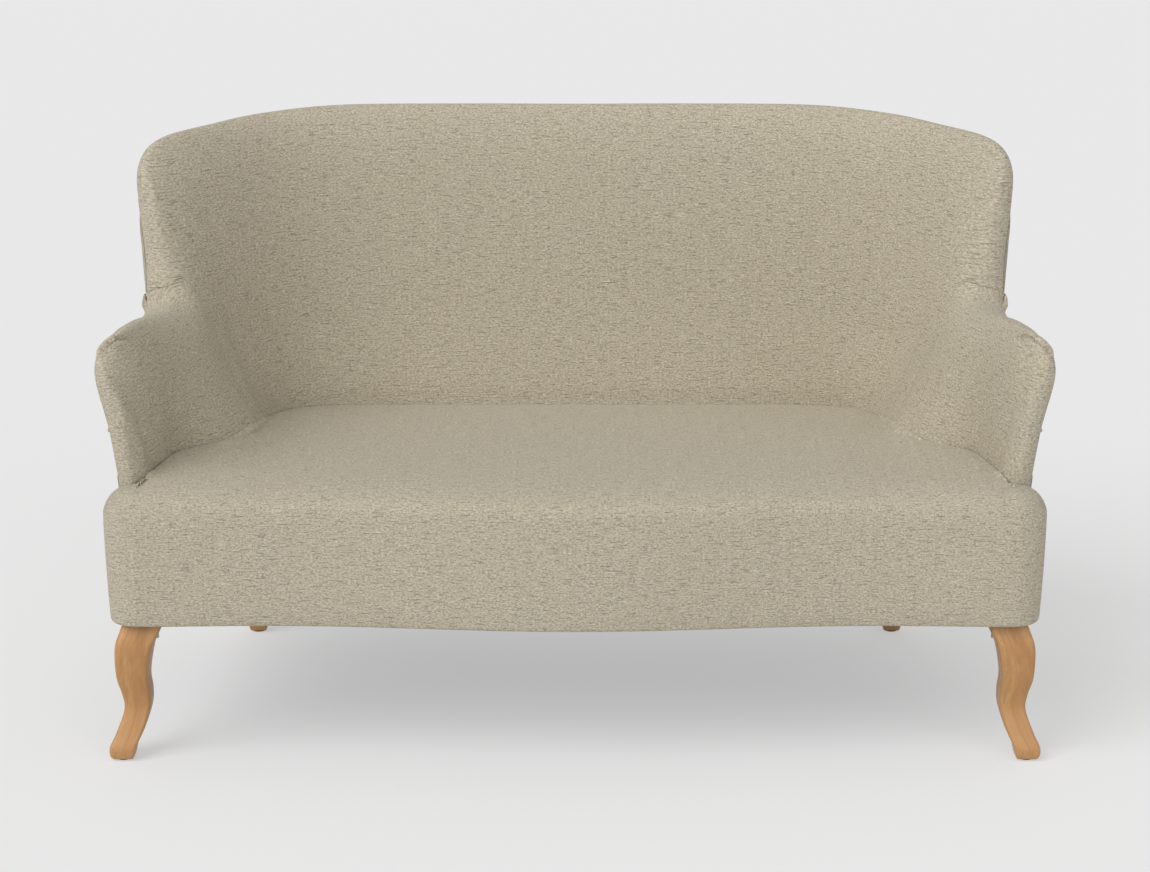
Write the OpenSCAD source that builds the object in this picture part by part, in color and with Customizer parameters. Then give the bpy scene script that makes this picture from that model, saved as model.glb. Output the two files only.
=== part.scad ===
// High back settee: a fixed, fully upholstered two seater on cabriole legs.
// X runs to the right, Y to the back and Z up. The origin lies on the floor, in the middle of the plan.

/* [Overall] */
// Width over the rolled arm fronts
arms_w = 1456; // [1300:2:1800]
// Distance from the arms' front edges to the rear rim line
arm_d = 594; // [560:2:660]
// Height of the top of the back
back_h = 928; // [880:2:1000]
// Height of the arm tips
arm_h = 652; // [620:2:690]
// Height of the seat at its front roll
seat_h = 434; // [424:2:450]
// Height of the upholstery's lower edge above the floor
hem_z = 216; // [190:2:225]

/* [Arms and back] */
// Thickness of an arm at its front edge
nose_t = 45; // [42:1:56]
// Thickness of an arm at its thickest, at seat height
arm_t = 170; // [140:1:190]
// Thickness of an arm's roll at half its depth
arm_roll_t = 108; // [90:1:120]
// Thickness of a wing
wing_t = 64; // [60:1:76]
// Thickness of the back at its top
back_t = 88; // [80:1:110]
// Thickness of the back at seat height
back_foot_t = 100; // [90:1:120]
// How far the back's face is hollowed between seat and top
back_hollow = 14; // [0:1:25]
// Height of the roll along the rims
rim_roll = 30; // [26:1:36]

/* [Seat and border] */
// How far the border's sides stand in from the arms' widest points
border_in = 11; // [4:1:20]
// How far the border swells forward at the middle
border_bow = 28; // [0:1:45]
// How far the border comes forward again at its corners
border_kick = 6; // [0:1:12]
// Plan radius of the border's corners
border_corner_r = 50; // [46:1:60]
// Depth of the border's side, in front of an arm
border_side_len = 62; // [56:1:80]
// Radius of the roll between border and seat
border_roll = 42; // [30:1:44]
// How far the border's lower edge is drawn in
border_taper = 4; // [2:1:8]
// Fall of the seat from front to back
seat_fall = 8; // [0:1:16]
// Fall of the seat from its middle to the arms
seat_side_fall = 10; // [0:1:16]

/* [Covers and padding] */
// Thickness of the covers with their wadding
cover_t = 2.5; // [2:0.1:4]
// Thickness of the pad under the border's cover
border_pad_t = 14; // [8:1:18]
// Thickness of the padding over the rims
rim_pad_t = 14; // [8:1:18]
// Thickness of the dust cover
dust_t = 1.2; // [0.8:0.1:2]
// Thickness of the hessian
hessian_t = 1.2; // [0.8:0.1:2]
// Width of a strap of webbing
web_w = 50; // [40:1:60]
// Thickness of the webbing
web_t = 1.6; // [1:0.1:2.5]

/* [Frame] */
// Thickness of the frame boards
board_t = 24; // [22:1:27]
// Height of springs and padding, from the rails' top to the seat's front roll
seat_stack_h = 108; // [104:1:116]
// Height of the rails in the arms and back
upper_rail_h = 40; // [30:1:50]
// Width of the arm, wing and back posts
post_w = 52; // [45:1:56]
// Size of a corner block
block_w = 70; // [60:1:80]
// Diameter of the dowels
dowel_d = 10; // [8:1:12]
// Length of the dowels
dowel_len = 44; // [36:1:50]
// Diameter of the corner block screws
screw_d = 5; // [4:0.5:6]
// Length of the corner block screws
screw_len = 60; // [50:1:64]

/* [Springs] */
// Number of sinuous springs
spring_count = 7; // [5:1:9]
// Diameter of the spring wire
wire_d = 3.6; // [3:0.1:4]
// Width of a spring over its bends
spring_w = 52; // [40:1:60]
// Distance between a spring's bends
spring_pitch = 26; // [20:1:34]

/* [Legs] */
// Width of a front leg at its top
leg_top_w = 62; // [54:1:70]
// Width of a front leg at its ankle
leg_ankle_w = 40; // [34:1:46]
// Width of a front foot
foot_w = 37; // [32:1:44]
// How far a front foot stands out from the top of its leg
foot_kick = 35; // [20:1:40]
// Width of a rear leg at its top
rear_leg_top_w = 52; // [46:1:60]
// Width of a rear foot
rear_foot_w = 32; // [28:1:38]
// How far a rear foot stands back from the top of its leg
rear_kick = 44; // [20:1:50]
// Diameter of the hanger bolts
bolt_d = 8; // [6:1:10]
// Length of the hanger bolts
bolt_len = 78; // [70:1:90]
// Diameter of the glides under the feet
glide_d = 22; // [18:1:26]
// Height of the glides' heads
glide_h = 3; // [2:0.5:5]

/* [Hidden] */

fabric_colour = [0.68, 0.64, 0.56];
foam_colour = [0.93, 0.87, 0.62];
beech_colour = [0.80, 0.66, 0.47];
oak_colour = [0.76, 0.58, 0.37];
steel_colour = [0.62, 0.64, 0.66];
hessian_colour = [0.62, 0.50, 0.33];
black_colour = [0.16, 0.16, 0.17];

// Clearance between soft pieces, and between padding and frame
soft_gap = 0.3;
// Clearance of the arms' and back's padding from its cover
pad_gap = 0.9;
// Clearance between straps, hessian and padding
layer_gap = 1.5;
// Clearance of the seat from the arms and back
tuck_gap = 3;
// Clearance of the boards from the covers and padding over them
board_gap = 0.8;
// Clearance at the frame's glued joints
joint_gap = 0.4;
// Clearance round a dowel, screw or bolt
bore_gap = 0.1;
// Overrun of cuts
over = 1;
round_fn = 40;

// Depth below the seat's roll to which the inside covers are tucked
tuck_depth = 34;
tuck_z = seat_h - tuck_depth;
half_w = arms_w / 2;
half_border = half_w - border_in;
nose_y = 0;
rear_rim_y = arm_d;
arm_rim_z = arm_h - nose_t / 2;
back_rim_z = back_h - rim_roll;
nose_front_y = nose_y - nose_t / 2;
border_end_y = nose_front_y - soft_gap;

function mix(a, b, s) = a + (b - a) * s;
function unit(v) = v / norm(v);
function ease(s) = (1 - cos(180 * min(max(s, 0), 1))) / 2;

// Smooth curve through the rows of a table, with the place s counted in rows
function curve(rows, s) =
    let (last = len(rows) - 1, i = min(max(floor(s), 0), last - 1), f = s - i,
         a = rows[max(i - 1, 0)], b = rows[i], c = rows[i + 1], d = rows[min(i + 2, last)])
    b + (c - a) * f / 2 + (2 * a - 5 * b + 4 * c - d) * f * f / 2 + (3 * b - a - 3 * c + d) * f * f * f / 2;

// Mirrors a table of the right half, which ends at the middle of the back, to the left
function both(half) = concat(half, [for (i = [len(half) - 2:-1:0])
    [for (k = [0:len(half[i]) - 1]) k == 0 ? -half[i][0] : half[i][k]]]);

// Height of a rim point: 0 is the tuck, 1 the arm's rim and 2 the back's rim
function rim_z(share) = share < 1 ? mix(tuck_z, arm_rim_z, share) : mix(arm_rim_z, back_rim_z, share - 1);

// Depth of a point: 0 is the arm's front edge and 1 the rear rim
function at_depth(share) = mix(nose_y, rear_rim_y, share);

// Middle line of the rim from the foot of the right arm's front edge, up it, back along the arm,
// up the wing and along the top of the back to its middle.
// Each row: share of the half width, share of the depth, height share, half thickness and roll
rim_shares = [
    [0.923, 0.000, 0.00, nose_t / 2, nose_t / 2],
    [0.944, 0.000, 0.48, nose_t / 2, nose_t / 2],
    [0.969, 0.006, 0.86, nose_t / 2, nose_t / 2],
    [0.944, 0.056, 1.00, nose_t * 0.56, nose_t / 2],
    [0.927, 0.222, 0.97, arm_roll_t * 0.36, rim_roll * 0.9],
    [0.902, 0.391, 0.93, arm_roll_t / 2, rim_roll],
    [0.896, 0.508, 1.00, arm_roll_t * 0.46, rim_roll],
    [0.914, 0.562, 1.26, wing_t * 0.56, rim_roll],
    [0.934, 0.599, 1.62, wing_t / 2, rim_roll],
    [0.940, 0.620, 1.80, wing_t * 0.48, rim_roll],
    [0.915, 0.660, 1.895, wing_t / 2, rim_roll],
    [0.824, 0.769, 1.94, mix(wing_t, back_t, 0.25) / 2, rim_roll],
    [0.714, 0.879, 1.98, mix(wing_t, back_t, 0.55) / 2, rim_roll],
    [0.550, 0.960, 2.005, back_t / 2, rim_roll],
    [0.275, 0.995, 2.003, back_t / 2, rim_roll],
    [0.000, 1.000, 2.00, back_t / 2, rim_roll]];

// Middle line of the arms and back at the height of the tuck, row by row under the rim.
// Each row: share of the half width, share of the depth, half thickness and hollow
foot_shares = [
    [0.923, 0.020, nose_t / 2, 0],
    [0.921, 0.046, nose_t / 2, 0],
    [0.919, 0.088, nose_t / 2, 0],
    [0.912, 0.146, mix(nose_t, arm_t, 0.05) / 2, 0],
    [0.898, 0.247, mix(nose_t, arm_t, 0.22) / 2, 0],
    [0.846, 0.357, mix(nose_t, arm_t, 0.78) / 2, back_hollow * 0.2],
    [0.824, 0.458, arm_t / 2, back_hollow * 0.5],
    [0.821, 0.525, arm_t / 2, back_hollow * 0.7],
    [0.816, 0.593, arm_t * 0.49, back_hollow * 0.8],
    [0.808, 0.652, arm_t * 0.46, back_hollow * 0.9],
    [0.794, 0.710, mix(arm_t, back_foot_t, 0.3) / 2, back_hollow],
    [0.753, 0.795, mix(arm_t, back_foot_t, 0.6) / 2, back_hollow],
    [0.673, 0.867, mix(arm_t, back_foot_t, 0.9) / 2, back_hollow],
    [0.536, 0.896, back_foot_t / 2, back_hollow],
    [0.275, 0.901, back_foot_t / 2, back_hollow],
    [0.000, 0.901, back_foot_t / 2, back_hollow]];

rim_rows = both([for (r = rim_shares) [r[0] * half_w, at_depth(r[1]), rim_z(r[2]), r[3], r[4]]]);
foot_rows = both([for (r = foot_shares) [r[0] * half_w, at_depth(r[1]), tuck_z, r[2], r[3]]]);
middle_u = len(rim_shares) - 1;
left_end_u = 2 * middle_u;
// Places along the rim where the arm covers end and the wings begin, and where the back begins
wing_u = 6.5;
corner_u = 12;
probe_share = 0.01;
// Level on the outer skin where the inside covers end
seam_share = 0.93;
// Clearance at a seam, as a share of a column
seam_step_share = 0.005;
// Rows over which the lines fan out from the foot of an arm's front edge
front_fan = 2;

function place(row) = [row[0], row[1], row[2]];
function inside_range(u) = min(max(u, 0), left_end_u);

// Middle surface of the arms and back: t is 0 at the tuck and 1 at the rim
function middle(u, t) =
    let (foot = curve(foot_rows, inside_range(u)), rim = curve(rim_rows, inside_range(u)),
         along = curve_step(u), out = unit([along[1], -along[0], 0]))
    mix(place(foot), place(rim), t) + out * foot[4] * sin(180 * min(max(t, 0), 1));
function curve_step(u) =
    let (a = inside_range(u - probe_share), b = inside_range(u + probe_share))
    place(curve(foot_rows, b)) - place(curve(foot_rows, a))
        + place(curve(rim_rows, b)) - place(curve(rim_rows, a));
// Near the foot of an arm's front edge the surface runs to a point, so the rim's normal is used there
function normal(u, t) =
    let (s = max(t, 1 - min(u, left_end_u - u) / front_fan))
    unit(cross(middle(inside_range(u + probe_share), s) - middle(inside_range(u - probe_share), s),
               middle(u, s + probe_share) - middle(u, s - probe_share)));
function half_t(u, t) = mix(curve(foot_rows, u)[3], curve(rim_rows, u)[3], t);

// A point of the smooth inner skin, d under it
function inner_smooth(u, t, d) = middle(u, t) - normal(u, t) * (half_t(u, t) - d);
// A point of the smooth outer skin, d under it. Below the tuck, w runs from 0 down to -1 at the hem.
// Next to the arm's front edge the skin is drawn forward to meet the border
function outer_smooth(u, w, d) =
    let (t = max(w, 0), n = normal(u, t), out = w > 0 ? n : unit([n[0], n[1], 0]),
         p = middle(u, t) + out * (half_t(u, t) - d),
         forward = (1 - min(u, 1)) * (1 - min(t / seam_share, 1)))
    [p[0], mix(p[1], nose_front_y, forward), w > 0 ? p[2] : mix(tuck_z, hem_z, -w)];
// A point on the smooth roll, d under it: a is 0 at the inner skin and 180 at the outer skin
function roll_smooth(u, a, d) =
    let (rim = curve(rim_rows, u), n = normal(u, 1), out = roll_out(u))
    place(rim) + out * (rim[4] - d) * sin(a) - n * (rim[3] - d) * cos(a);
function roll_out(u) = unit(cross(normal(u, 1),
    place(curve(rim_rows, inside_range(u + probe_share)))
        - place(curve(rim_rows, inside_range(u - probe_share)))));

// Columns and levels that every cover, pad, board and strap shares, so that their faces nest
half_places = [0, 0.5, 1, 1.5, 2, 2.4, 2.8, 3.2, 3.6, 4, 4.5, 5, 5.5, 6, wing_u, 7, 7.5, 8, 8.5, 9, 9.4, 9.8,
    10.2, 10.6, 11, 11.5, corner_u, 12.5, 13, 13.5, 14.2];
skin_places = concat(half_places, [middle_u],
    [for (i = [len(half_places) - 1:-1:0]) left_end_u - half_places[i]]);
inner_steps = 6;
skirt_steps = 2;
level_shares = concat([for (i = [-skirt_steps:-1]) i / skirt_steps],
    [for (i = [0:inner_steps]) i / inner_steps]);
// Place in a rising list, as its index and the fraction up to the next one
function found(list, v) =
    let (below = [for (i = [0:len(list) - 2]) if (list[i] <= v) i], i = max(concat(below, [0])))
    [i, (v - list[i]) / (list[i + 1] - list[i])];
// The columns from one place along the rim to another, and the levels from one height share to another
function places_between(a, b) = concat([a], [for (u = skin_places) if (u > a && u < b) u], [b]);
function levels_between(high, low) = concat([high],
    [for (i = [len(level_shares) - 1:-1:0])
        if (level_shares[i] < high && level_shares[i] > low) level_shares[i]],
    [low]);

// The skins as built, flat between the shared columns and levels
function inner_skin(u, t, d) =
    let (at = found(skin_places, u), a = inner_smooth(skin_places[at[0]], t, d))
    at[1] == 0 ? a : mix(a, inner_smooth(skin_places[at[0] + 1], t, d), at[1]);
function roll_skin(u, a, d) =
    let (at = found(skin_places, u), p = roll_smooth(skin_places[at[0]], a, d))
    at[1] == 0 ? p : mix(p, roll_smooth(skin_places[at[0] + 1], a, d), at[1]);
function outer_column(at, w, d) =
    let (a = outer_smooth(skin_places[at[0]], w, d))
    at[1] == 0 ? a : mix(a, outer_smooth(skin_places[at[0] + 1], w, d), at[1]);
function outer_skin(u, w, d) =
    let (at = found(skin_places, u), up = found(level_shares, w),
         a = outer_column(at, level_shares[up[0]], d))
    up[1] == 0 ? a : mix(a, outer_column(at, level_shares[up[0] + 1], d), up[1]);

// Closed solid between two grids of points of the same size; rows then columns
module slab(outer, inner) {
    rows = len(outer);
    cols = len(outer[0]);
    count = rows * cols;
    points = concat([for (r = outer) for (p = r) p], [for (r = inner) for (p = r) p]);
    function at(r, c) = r * cols + c;
    function quad(a, b, c, d) = [[a, b, c], [a, c, d]];
    faces = concat(
        [for (r = [0:rows - 2]) for (c = [0:cols - 2])
            for (f = quad(at(r, c), at(r + 1, c), at(r + 1, c + 1), at(r, c + 1))) f],
        [for (r = [0:rows - 2]) for (c = [0:cols - 2])
            for (f = quad(at(r, c) + count, at(r, c + 1) + count,
                          at(r + 1, c + 1) + count, at(r + 1, c) + count)) f],
        [for (r = [0:rows - 2])
            for (f = quad(at(r + 1, 0), at(r, 0), at(r, 0) + count, at(r + 1, 0) + count)) f],
        [for (r = [0:rows - 2])
            for (f = quad(at(r, cols - 1), at(r + 1, cols - 1),
                          at(r + 1, cols - 1) + count, at(r, cols - 1) + count)) f],
        [for (c = [0:cols - 2])
            for (f = quad(at(rows - 1, c + 1), at(rows - 1, c),
                          at(rows - 1, c) + count, at(rows - 1, c + 1) + count)) f],
        [for (c = [0:cols - 2])
            for (f = quad(at(0, c), at(0, c + 1), at(0, c + 1) + count, at(0, c) + count)) f]);
    polyhedron(points, faces, convexity = 10);
}

// Puts every piece so that the origin lies in the middle of the plan
module placed() {
    translate([0, plan_shift, 0]) children();
}
module mirrored() {
    mirror([1, 0, 0]) children();
}

roll_steps = 6;
arm_places = places_between(0, wing_u - seam_step_share);
back_places = places_between(wing_u, left_end_u - wing_u);

// Section of an inside cover, from the tuck over the roll to the seam behind it
function cover_section(u, d) = concat(
    [for (i = [0:inner_steps]) inner_skin(u, i / inner_steps, d)],
    [for (i = [1:roll_steps - 1]) roll_skin(u, 180 * i / roll_steps, d)],
    [outer_skin(u, 1, d), outer_skin(u, seam_share, d)]);
module inside_cover(places) {
    slab([for (u = places) cover_section(u, 0)], [for (u = places) cover_section(u, cover_t)]);
}
module inside_back_cover() {
    color(fabric_colour) placed() inside_cover(back_places);
}
module right_inside_arm_cover() {
    color(fabric_colour) placed() inside_cover(arm_places);
}
module left_inside_arm_cover() {
    mirrored() right_inside_arm_cover();
}

// The outside covers end just under the inside ones, and meet at the back corners
outside_top_share = 0.928;
nose_seam_share = 0.09;
outside_arm_places = places_between(0, corner_u);
outside_back_places = places_between(corner_u + seam_step_share, left_end_u - corner_u - seam_step_share);
function outer_levels(u) = levels_between(outside_top_share - nose_seam_share * (1 - min(u, 1)), -1);
module outside_cover(places) {
    slab([for (u = places) [for (w = outer_levels(u)) outer_skin(u, w, 0)]],
         [for (u = places) [for (w = outer_levels(u)) outer_skin(u, w, cover_t)]]);
}
module outside_back_cover() {
    color(fabric_colour) placed() outside_cover(outside_back_places);
}
module right_outside_arm_cover() {
    color(fabric_colour) placed() outside_cover(outside_arm_places);
}
module left_outside_arm_cover() {
    mirrored() right_outside_arm_cover();
}

// Front border: its line in plan, from the end of the right side round the corner to the middle
recess_y = nose_front_y - border_side_len;
recess_share = 0.64;
function front_y(x) =
    let (s = abs(x) / half_border / recess_share)
    recess_y - border_bow * ease(1 - s) - border_kick * ease((s - 1) / (1 / recess_share - 1));
corner_x = half_border - border_corner_r;
corner_y = front_y(corner_x) + border_corner_r;
function border_line(s) =
    s <= 1 ? [half_border, mix(border_end_y, corner_y, s)] :
    s <= 2 ? [corner_x, corner_y] + border_corner_r * [cos(90 * (s - 1)), -sin(90 * (s - 1))] :
    [corner_x * (3 - s), front_y(corner_x * (3 - s))];
// Where the roll over a point of that line ends
function roll_end(p) =
    p[0] > corner_x && p[1] < corner_y
        ? mix([corner_x, corner_y], p, max(1 - border_roll / border_corner_r, probe_share))
        : [min(p[0], half_border - border_roll), max(p[1], front_y(p[0]) + border_roll)];

// Columns of the seat: place on the border's line, and place on the seat's inner edge that it runs to
seat_places = [
    [0, 0], [0.5, 0.35], [1, 0.6], [1.33, 0.75], [1.66, 0.9], [2, 1], [2.03, 2], [2.07, 3.6], [2.11, 4.5],
    [2.14, 5], [2.18, 6], [2.22, 7.5], [2.27, 9.4], [2.32, 11], [2.364, corner_u], [2.447, 13], [2.56, 13.5],
    [2.7, 14.2], [2.85, 14.6], [3, middle_u]];
last_place = len(seat_places) - 1;
// The seat's inner edge in plan, d inside the cover: up to 1 along the front of the arm, then back
// along the foot of the arm's inner skin
function seat_edge(v, d, shift = 0) =
    let (p = inner_skin(v < 2 ? 2 * max(v - 1, 0) : v, 0, -tuck_gap - d))
    v > 1 ? [p[0], p[1]] : [mix(corner_start_x + min(d, corner_fold), p[0], v), border_end_y - shift - d * v];
corner_fold = 6;
corner_start_x = half_border - border_roll - corner_fold - tuck_gap;
function deck_z(x, s) = seat_h - seat_fall * s - seat_side_fall * pow(abs(x) / half_border, 3);
roll_angles = [0, 22.5, 45, 67.5, 90];
deck_shares = [0.25, 0.5, 0.75, 0.97];
edge_drop = 9;
tuck_drop = 30;
hem_turn = 4;
hem_turn_h = 6;
// Drawing in of the border's face at height z
function face_inset(z) =
    let (top = seat_h - seat_side_fall - border_roll)
    border_taper * pow(min(max((top - z) / (top - hem_z), 0), 1), 1.6);
function inset(p, target, d) = p + unit(target - p) * d;
function face_point(p, z, d, more = 0) =
    let (q = inset(p, roll_end(p), d + more + face_inset(z))) [q[0], q[1], z];
function roll_point(p, a, d) =
    let (target = roll_end(p), q = inset(p, target, d), top = deck_z(target[0], 0))
    [mix(q[0], target[0], 1 - cos(a)), mix(q[1], target[1], 1 - cos(a)),
     top - d - (border_roll - d) * (1 - sin(a))];
function deck_point(p, u, s, d, shift = 0) =
    let (q = mix(roll_end(p), seat_edge(u, d, shift), s)) [q[0], q[1], deck_z(q[0], s) - d];
function edge_point(u, z_drop, d, shift = 0) =
    let (q = seat_edge(u, d, shift)) [q[0], q[1], deck_z(q[0], 1) - z_drop];
face_shares = [0.5, 0.8];
// One column of the seat's cover: up the border, over the roll, back over the seat and down beside the back
function seat_column(place, d, shift) =
    let (p = border_line(place[0]) - [0, shift], u = place[1], top = roll_point(p, 0, d)[2])
    concat([face_point(p, hem_z, d, hem_turn), face_point(p, hem_z + hem_turn_h, d)],
        [for (k = face_shares) face_point(p, mix(hem_z, top, k), d)],
        [for (a = roll_angles) roll_point(p, a, d)],
        [for (s = deck_shares) deck_point(p, u, s, d, shift)],
        [edge_point(u, edge_drop, d, shift), edge_point(u, edge_drop + tuck_drop, d, shift)]);
// Mirrors a list of points from right to left
function flip_x(points) = [for (p = points) [-p[0], p[1], p[2]]];
// The ends are turned in behind the border by the flange
end_flange = 15;
function seat_grid(d, fold, shift) =
    let (ends = fold > 0 ? [seat_column(seat_places[0], fold, shift)] : [],
         half = concat(ends, [for (i = [0:last_place]) seat_column(seat_places[i], d, i == 0 ? shift : 0)]))
    concat(half, [for (i = [len(half) - 2:-1:0]) flip_x(half[i])]);
module seat_cover() {
    color(fabric_colour) placed() slab(seat_grid(0, end_flange, 0), seat_grid(cover_t, end_flange, cover_t));
}

module border_pad() {
    rows = [for (s = pad_places) [for (k = pad_row_shares)
        face_point(border_line(s), mix(pad_z0, spring_deck_z, k), cover_t + soft_gap)]];
    backs = [for (s = pad_places)
        let (p = border_line(s), q = inset(p, roll_end(p), rail_inset - 2 * board_gap))
        [for (k = pad_row_shares) [q[0], q[1], mix(pad_z0, spring_deck_z, k)]]];
    color(foam_colour) placed() slab(two_sided(rows), two_sided(backs));
}
function two_sided(half) = concat(half, [for (i = [len(half) - 2:-1:0]) flip_x(half[i])]);
pad_start_share = 0.18;
pad_row_shares = [0, 0.35, 0.7, 1];
pad_places = concat([pad_start_share], [for (i = [1:last_place]) seat_places[i][0]]);
pad_z0 = hem_z + hem_turn_h + soft_gap;
rail_inset = border_taper + cover_t + border_pad_t + 2 * soft_gap;

// Heights of the seat's layers
rail_z0 = hem_z + dust_t + 2 * soft_gap;
rail_top = seat_h - seat_stack_h;
rail_h = rail_top - rail_z0;
clip_t = 1.5;
spring_z = rail_top + clip_t;
tie_d = 2.4;
tie_z = spring_z + wire_d + bore_gap;
hessian_z = tie_z + tie_d + bore_gap;
spring_deck_z = hessian_z + hessian_t;
foam_z = spring_deck_z + soft_gap;

function foam_column(place) =
    let (d = cover_t + soft_gap, p = border_line(place[0]), u = place[1])
    concat([for (a = roll_angles) roll_point(p, a, d)], [for (s = deck_shares) deck_point(p, u, s, d)],
        [edge_point(u, edge_drop, d)]);
module seat_foam() {
    half = [for (i = [1:last_place]) foam_column(seat_places[i])];
    under = [for (i = [1:last_place]) let (
        front = face_point(border_line(seat_places[i][0]), foam_z, cover_t + soft_gap),
        last = len(half[0]) - 1, back = half[i - 1][last])
        [for (k = [0:last]) [mix(front[0], back[0], k / last), mix(front[1], back[1], k / last), foam_z]]];
    color(foam_colour) placed() slab(two_sided(half), two_sided(under));
}

// Padding of the arms and back, between the inside covers and the boards, thinner over the rims
frame_d = cover_t + pad_gap;
board_d = cover_t + board_gap;
foam_back_d = board_d + board_t + layer_gap;
back_foam_d = foam_back_d + web_t + hessian_t + 2 * layer_gap;
rim_side_pad_t = 3;
function foam_section(u) = concat(
    [for (i = [0:inner_steps]) inner_skin(u, i / inner_steps, frame_d)],
    [for (i = [1:roll_steps]) roll_skin(u, 180 * i / roll_steps, frame_d)]);
function foam_backs(u, depth) =
    let (rim = curve(rim_rows, u), n = normal(u, 1), out = roll_out(u))
    concat([for (i = [0:inner_steps]) outer_skin(u, i / inner_steps, depth)],
        [for (i = [1:roll_steps]) let (a = 180 * i / roll_steps)
            place(rim) + out * (rim[4] - frame_d - rim_pad_t) * sin(a)
                + n * (rim[3] - mix(depth, frame_d + rim_side_pad_t, ease(i / roll_steps)))]);
module inside_foam(places, depth) {
    slab([for (u = places) foam_section(u)], [for (u = places) foam_backs(u, depth)]);
}
// Clearance between the arms' and the back's foam, as a share of a column
foam_joint_share = 0.12;
arm_foam_places = places_between(arm_places[1], wing_u - foam_joint_share);
module back_foam() {
    color(foam_colour) placed() inside_foam(back_places, back_foam_d);
}
module right_arm_foam() {
    color(foam_colour) placed() inside_foam(arm_foam_places, foam_back_d);
}
module left_arm_foam() {
    mirrored() right_arm_foam();
}

// Boards of the upper frame lie behind the outside covers. A level is 1 at the rim, 0 at the tuck
// and -1 at the hem
function rim_height(u) = curve(rim_rows, u)[2];
function level(u, z) = z > tuck_z ? (z - tuck_z) / (rim_height(u) - tuck_z) : (z - tuck_z) / (tuck_z - hem_z);
board_top_share = 0.9;
function under_top(u, drop) = board_top_share - drop / (rim_height(u) - tuck_z);
// Place one length further along the foot line
function further(u, length) = u + length / norm(place(curve(foot_rows, u + 1)) - place(curve(foot_rows, u)));
// Board between two lists of points of the outer skin
module board(rows) {
    slab([for (row = rows) [for (q = row) outer_skin(q[0], q[1], board_d)]],
         [for (row = rows) [for (q = row) outer_skin(q[0], q[1], board_d + board_t)]]);
}
module post(u) {
    difference() {
        color(beech_colour) board([for (v = places_between(u, further(u, post_w)))
            [for (w = levels_between(board_top_share, level(v, rail_top))) [v, w]]]);
        color(beech_colour) post_dowel(u, bore_gap);
    }
}
module rail_between(a, b, low_drop, high_drop) {
    color(beech_colour) board([for (v = places_between(further(a, joint_gap), further(b, -joint_gap)))
        [[v, under_top(v, high_drop)], [v, under_top(v, low_drop)]]]);
}
module flat_rail_between(a, b, low_z, high_z) {
    color(beech_colour) board([for (v = places_between(further(a, joint_gap), further(b, -joint_gap)))
        [[v, level(v, high_z)], [v, level(v, low_z)]]]);
}
arm_post_u = 2.3;
wing_post_u = 8.2;
back_post_u = 11.6;
arm_post_end = further(arm_post_u, post_w);
wing_post_end = further(wing_post_u, post_w);
back_post_end = further(back_post_u, post_w);
arm_rail_top_z = arm_rim_z - rim_roll;
lower_rail_z = tuck_z + 2 * soft_gap;

module right_arm_post() {
    placed() post(arm_post_u);
}
module left_arm_post() {
    mirrored() right_arm_post();
}
module right_wing_post() {
    placed() post(wing_post_u);
}
module left_wing_post() {
    mirrored() right_wing_post();
}
module right_back_post() {
    placed() post(back_post_u);
}
module left_back_post() {
    mirrored() right_back_post();
}
module right_arm_rail() {
    placed() flat_rail_between(arm_post_end, wing_post_u, arm_rail_top_z - upper_rail_h, arm_rail_top_z);
}
module left_arm_rail() {
    mirrored() right_arm_rail();
}
module right_lower_arm_rail() {
    placed() flat_rail_between(arm_post_end, wing_post_u, lower_rail_z, lower_rail_z + upper_rail_h);
}
module left_lower_arm_rail() {
    mirrored() right_lower_arm_rail();
}
module right_wing_rail() {
    placed() rail_between(wing_post_end, back_post_u, upper_rail_h, 0);
}
module left_wing_rail() {
    mirrored() right_wing_rail();
}
module top_rail() {
    placed() rail_between(back_post_end, left_end_u - back_post_end, upper_rail_h, 0);
}
module lower_back_rail() {
    placed() flat_rail_between(back_post_end, left_end_u - back_post_end,
        lower_rail_z, lower_rail_z + upper_rail_h);
}
slat_u = 14;
module back_slats() {
    for (u = [slat_u, left_end_u - further(slat_u, post_w)]) placed() {
        color(beech_colour) board([for (v = places_between(u, further(u, post_w)))
            [for (w = levels_between(under_top(v, upper_rail_h + joint_gap),
                level(v, lower_rail_z + upper_rail_h + joint_gap))) [v, w]]]);
    }
}

// Straps across the front of the back's boards, and the hessian over them
web_count = 4;
web_d = foam_back_d;
web_places = places_between(back_post_u, left_end_u - back_post_u);
module back_strap(z) {
    edges = [z - web_w / 2, z + web_w / 2];
    slab([for (u = web_places) [for (h = edges) outer_skin(u, level(u, h), web_d + web_t)]],
         [for (u = web_places) [for (h = edges) outer_skin(u, level(u, h), web_d)]]);
}
module back_webbing() {
    first_z = lower_rail_z + upper_rail_h + web_w;
    last_z = back_rim_z - 2 * upper_rail_h - web_w;
    for (i = [0:web_count - 1]) color(hessian_colour) placed()
        back_strap(mix(first_z, last_z, i / (web_count - 1)));
}
hessian_top_share = 0.88;
hessian_foot_share = 0.02;
module back_hessian() {
    levels = levels_between(hessian_top_share, hessian_foot_share);
    near = web_d + web_t + layer_gap;
    color(hessian_colour) placed()
        slab([for (u = web_places) [for (w = levels) outer_skin(u, w, near)]],
             [for (u = web_places) [for (w = levels) outer_skin(u, w, near + hessian_t)]]);
}

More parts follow.
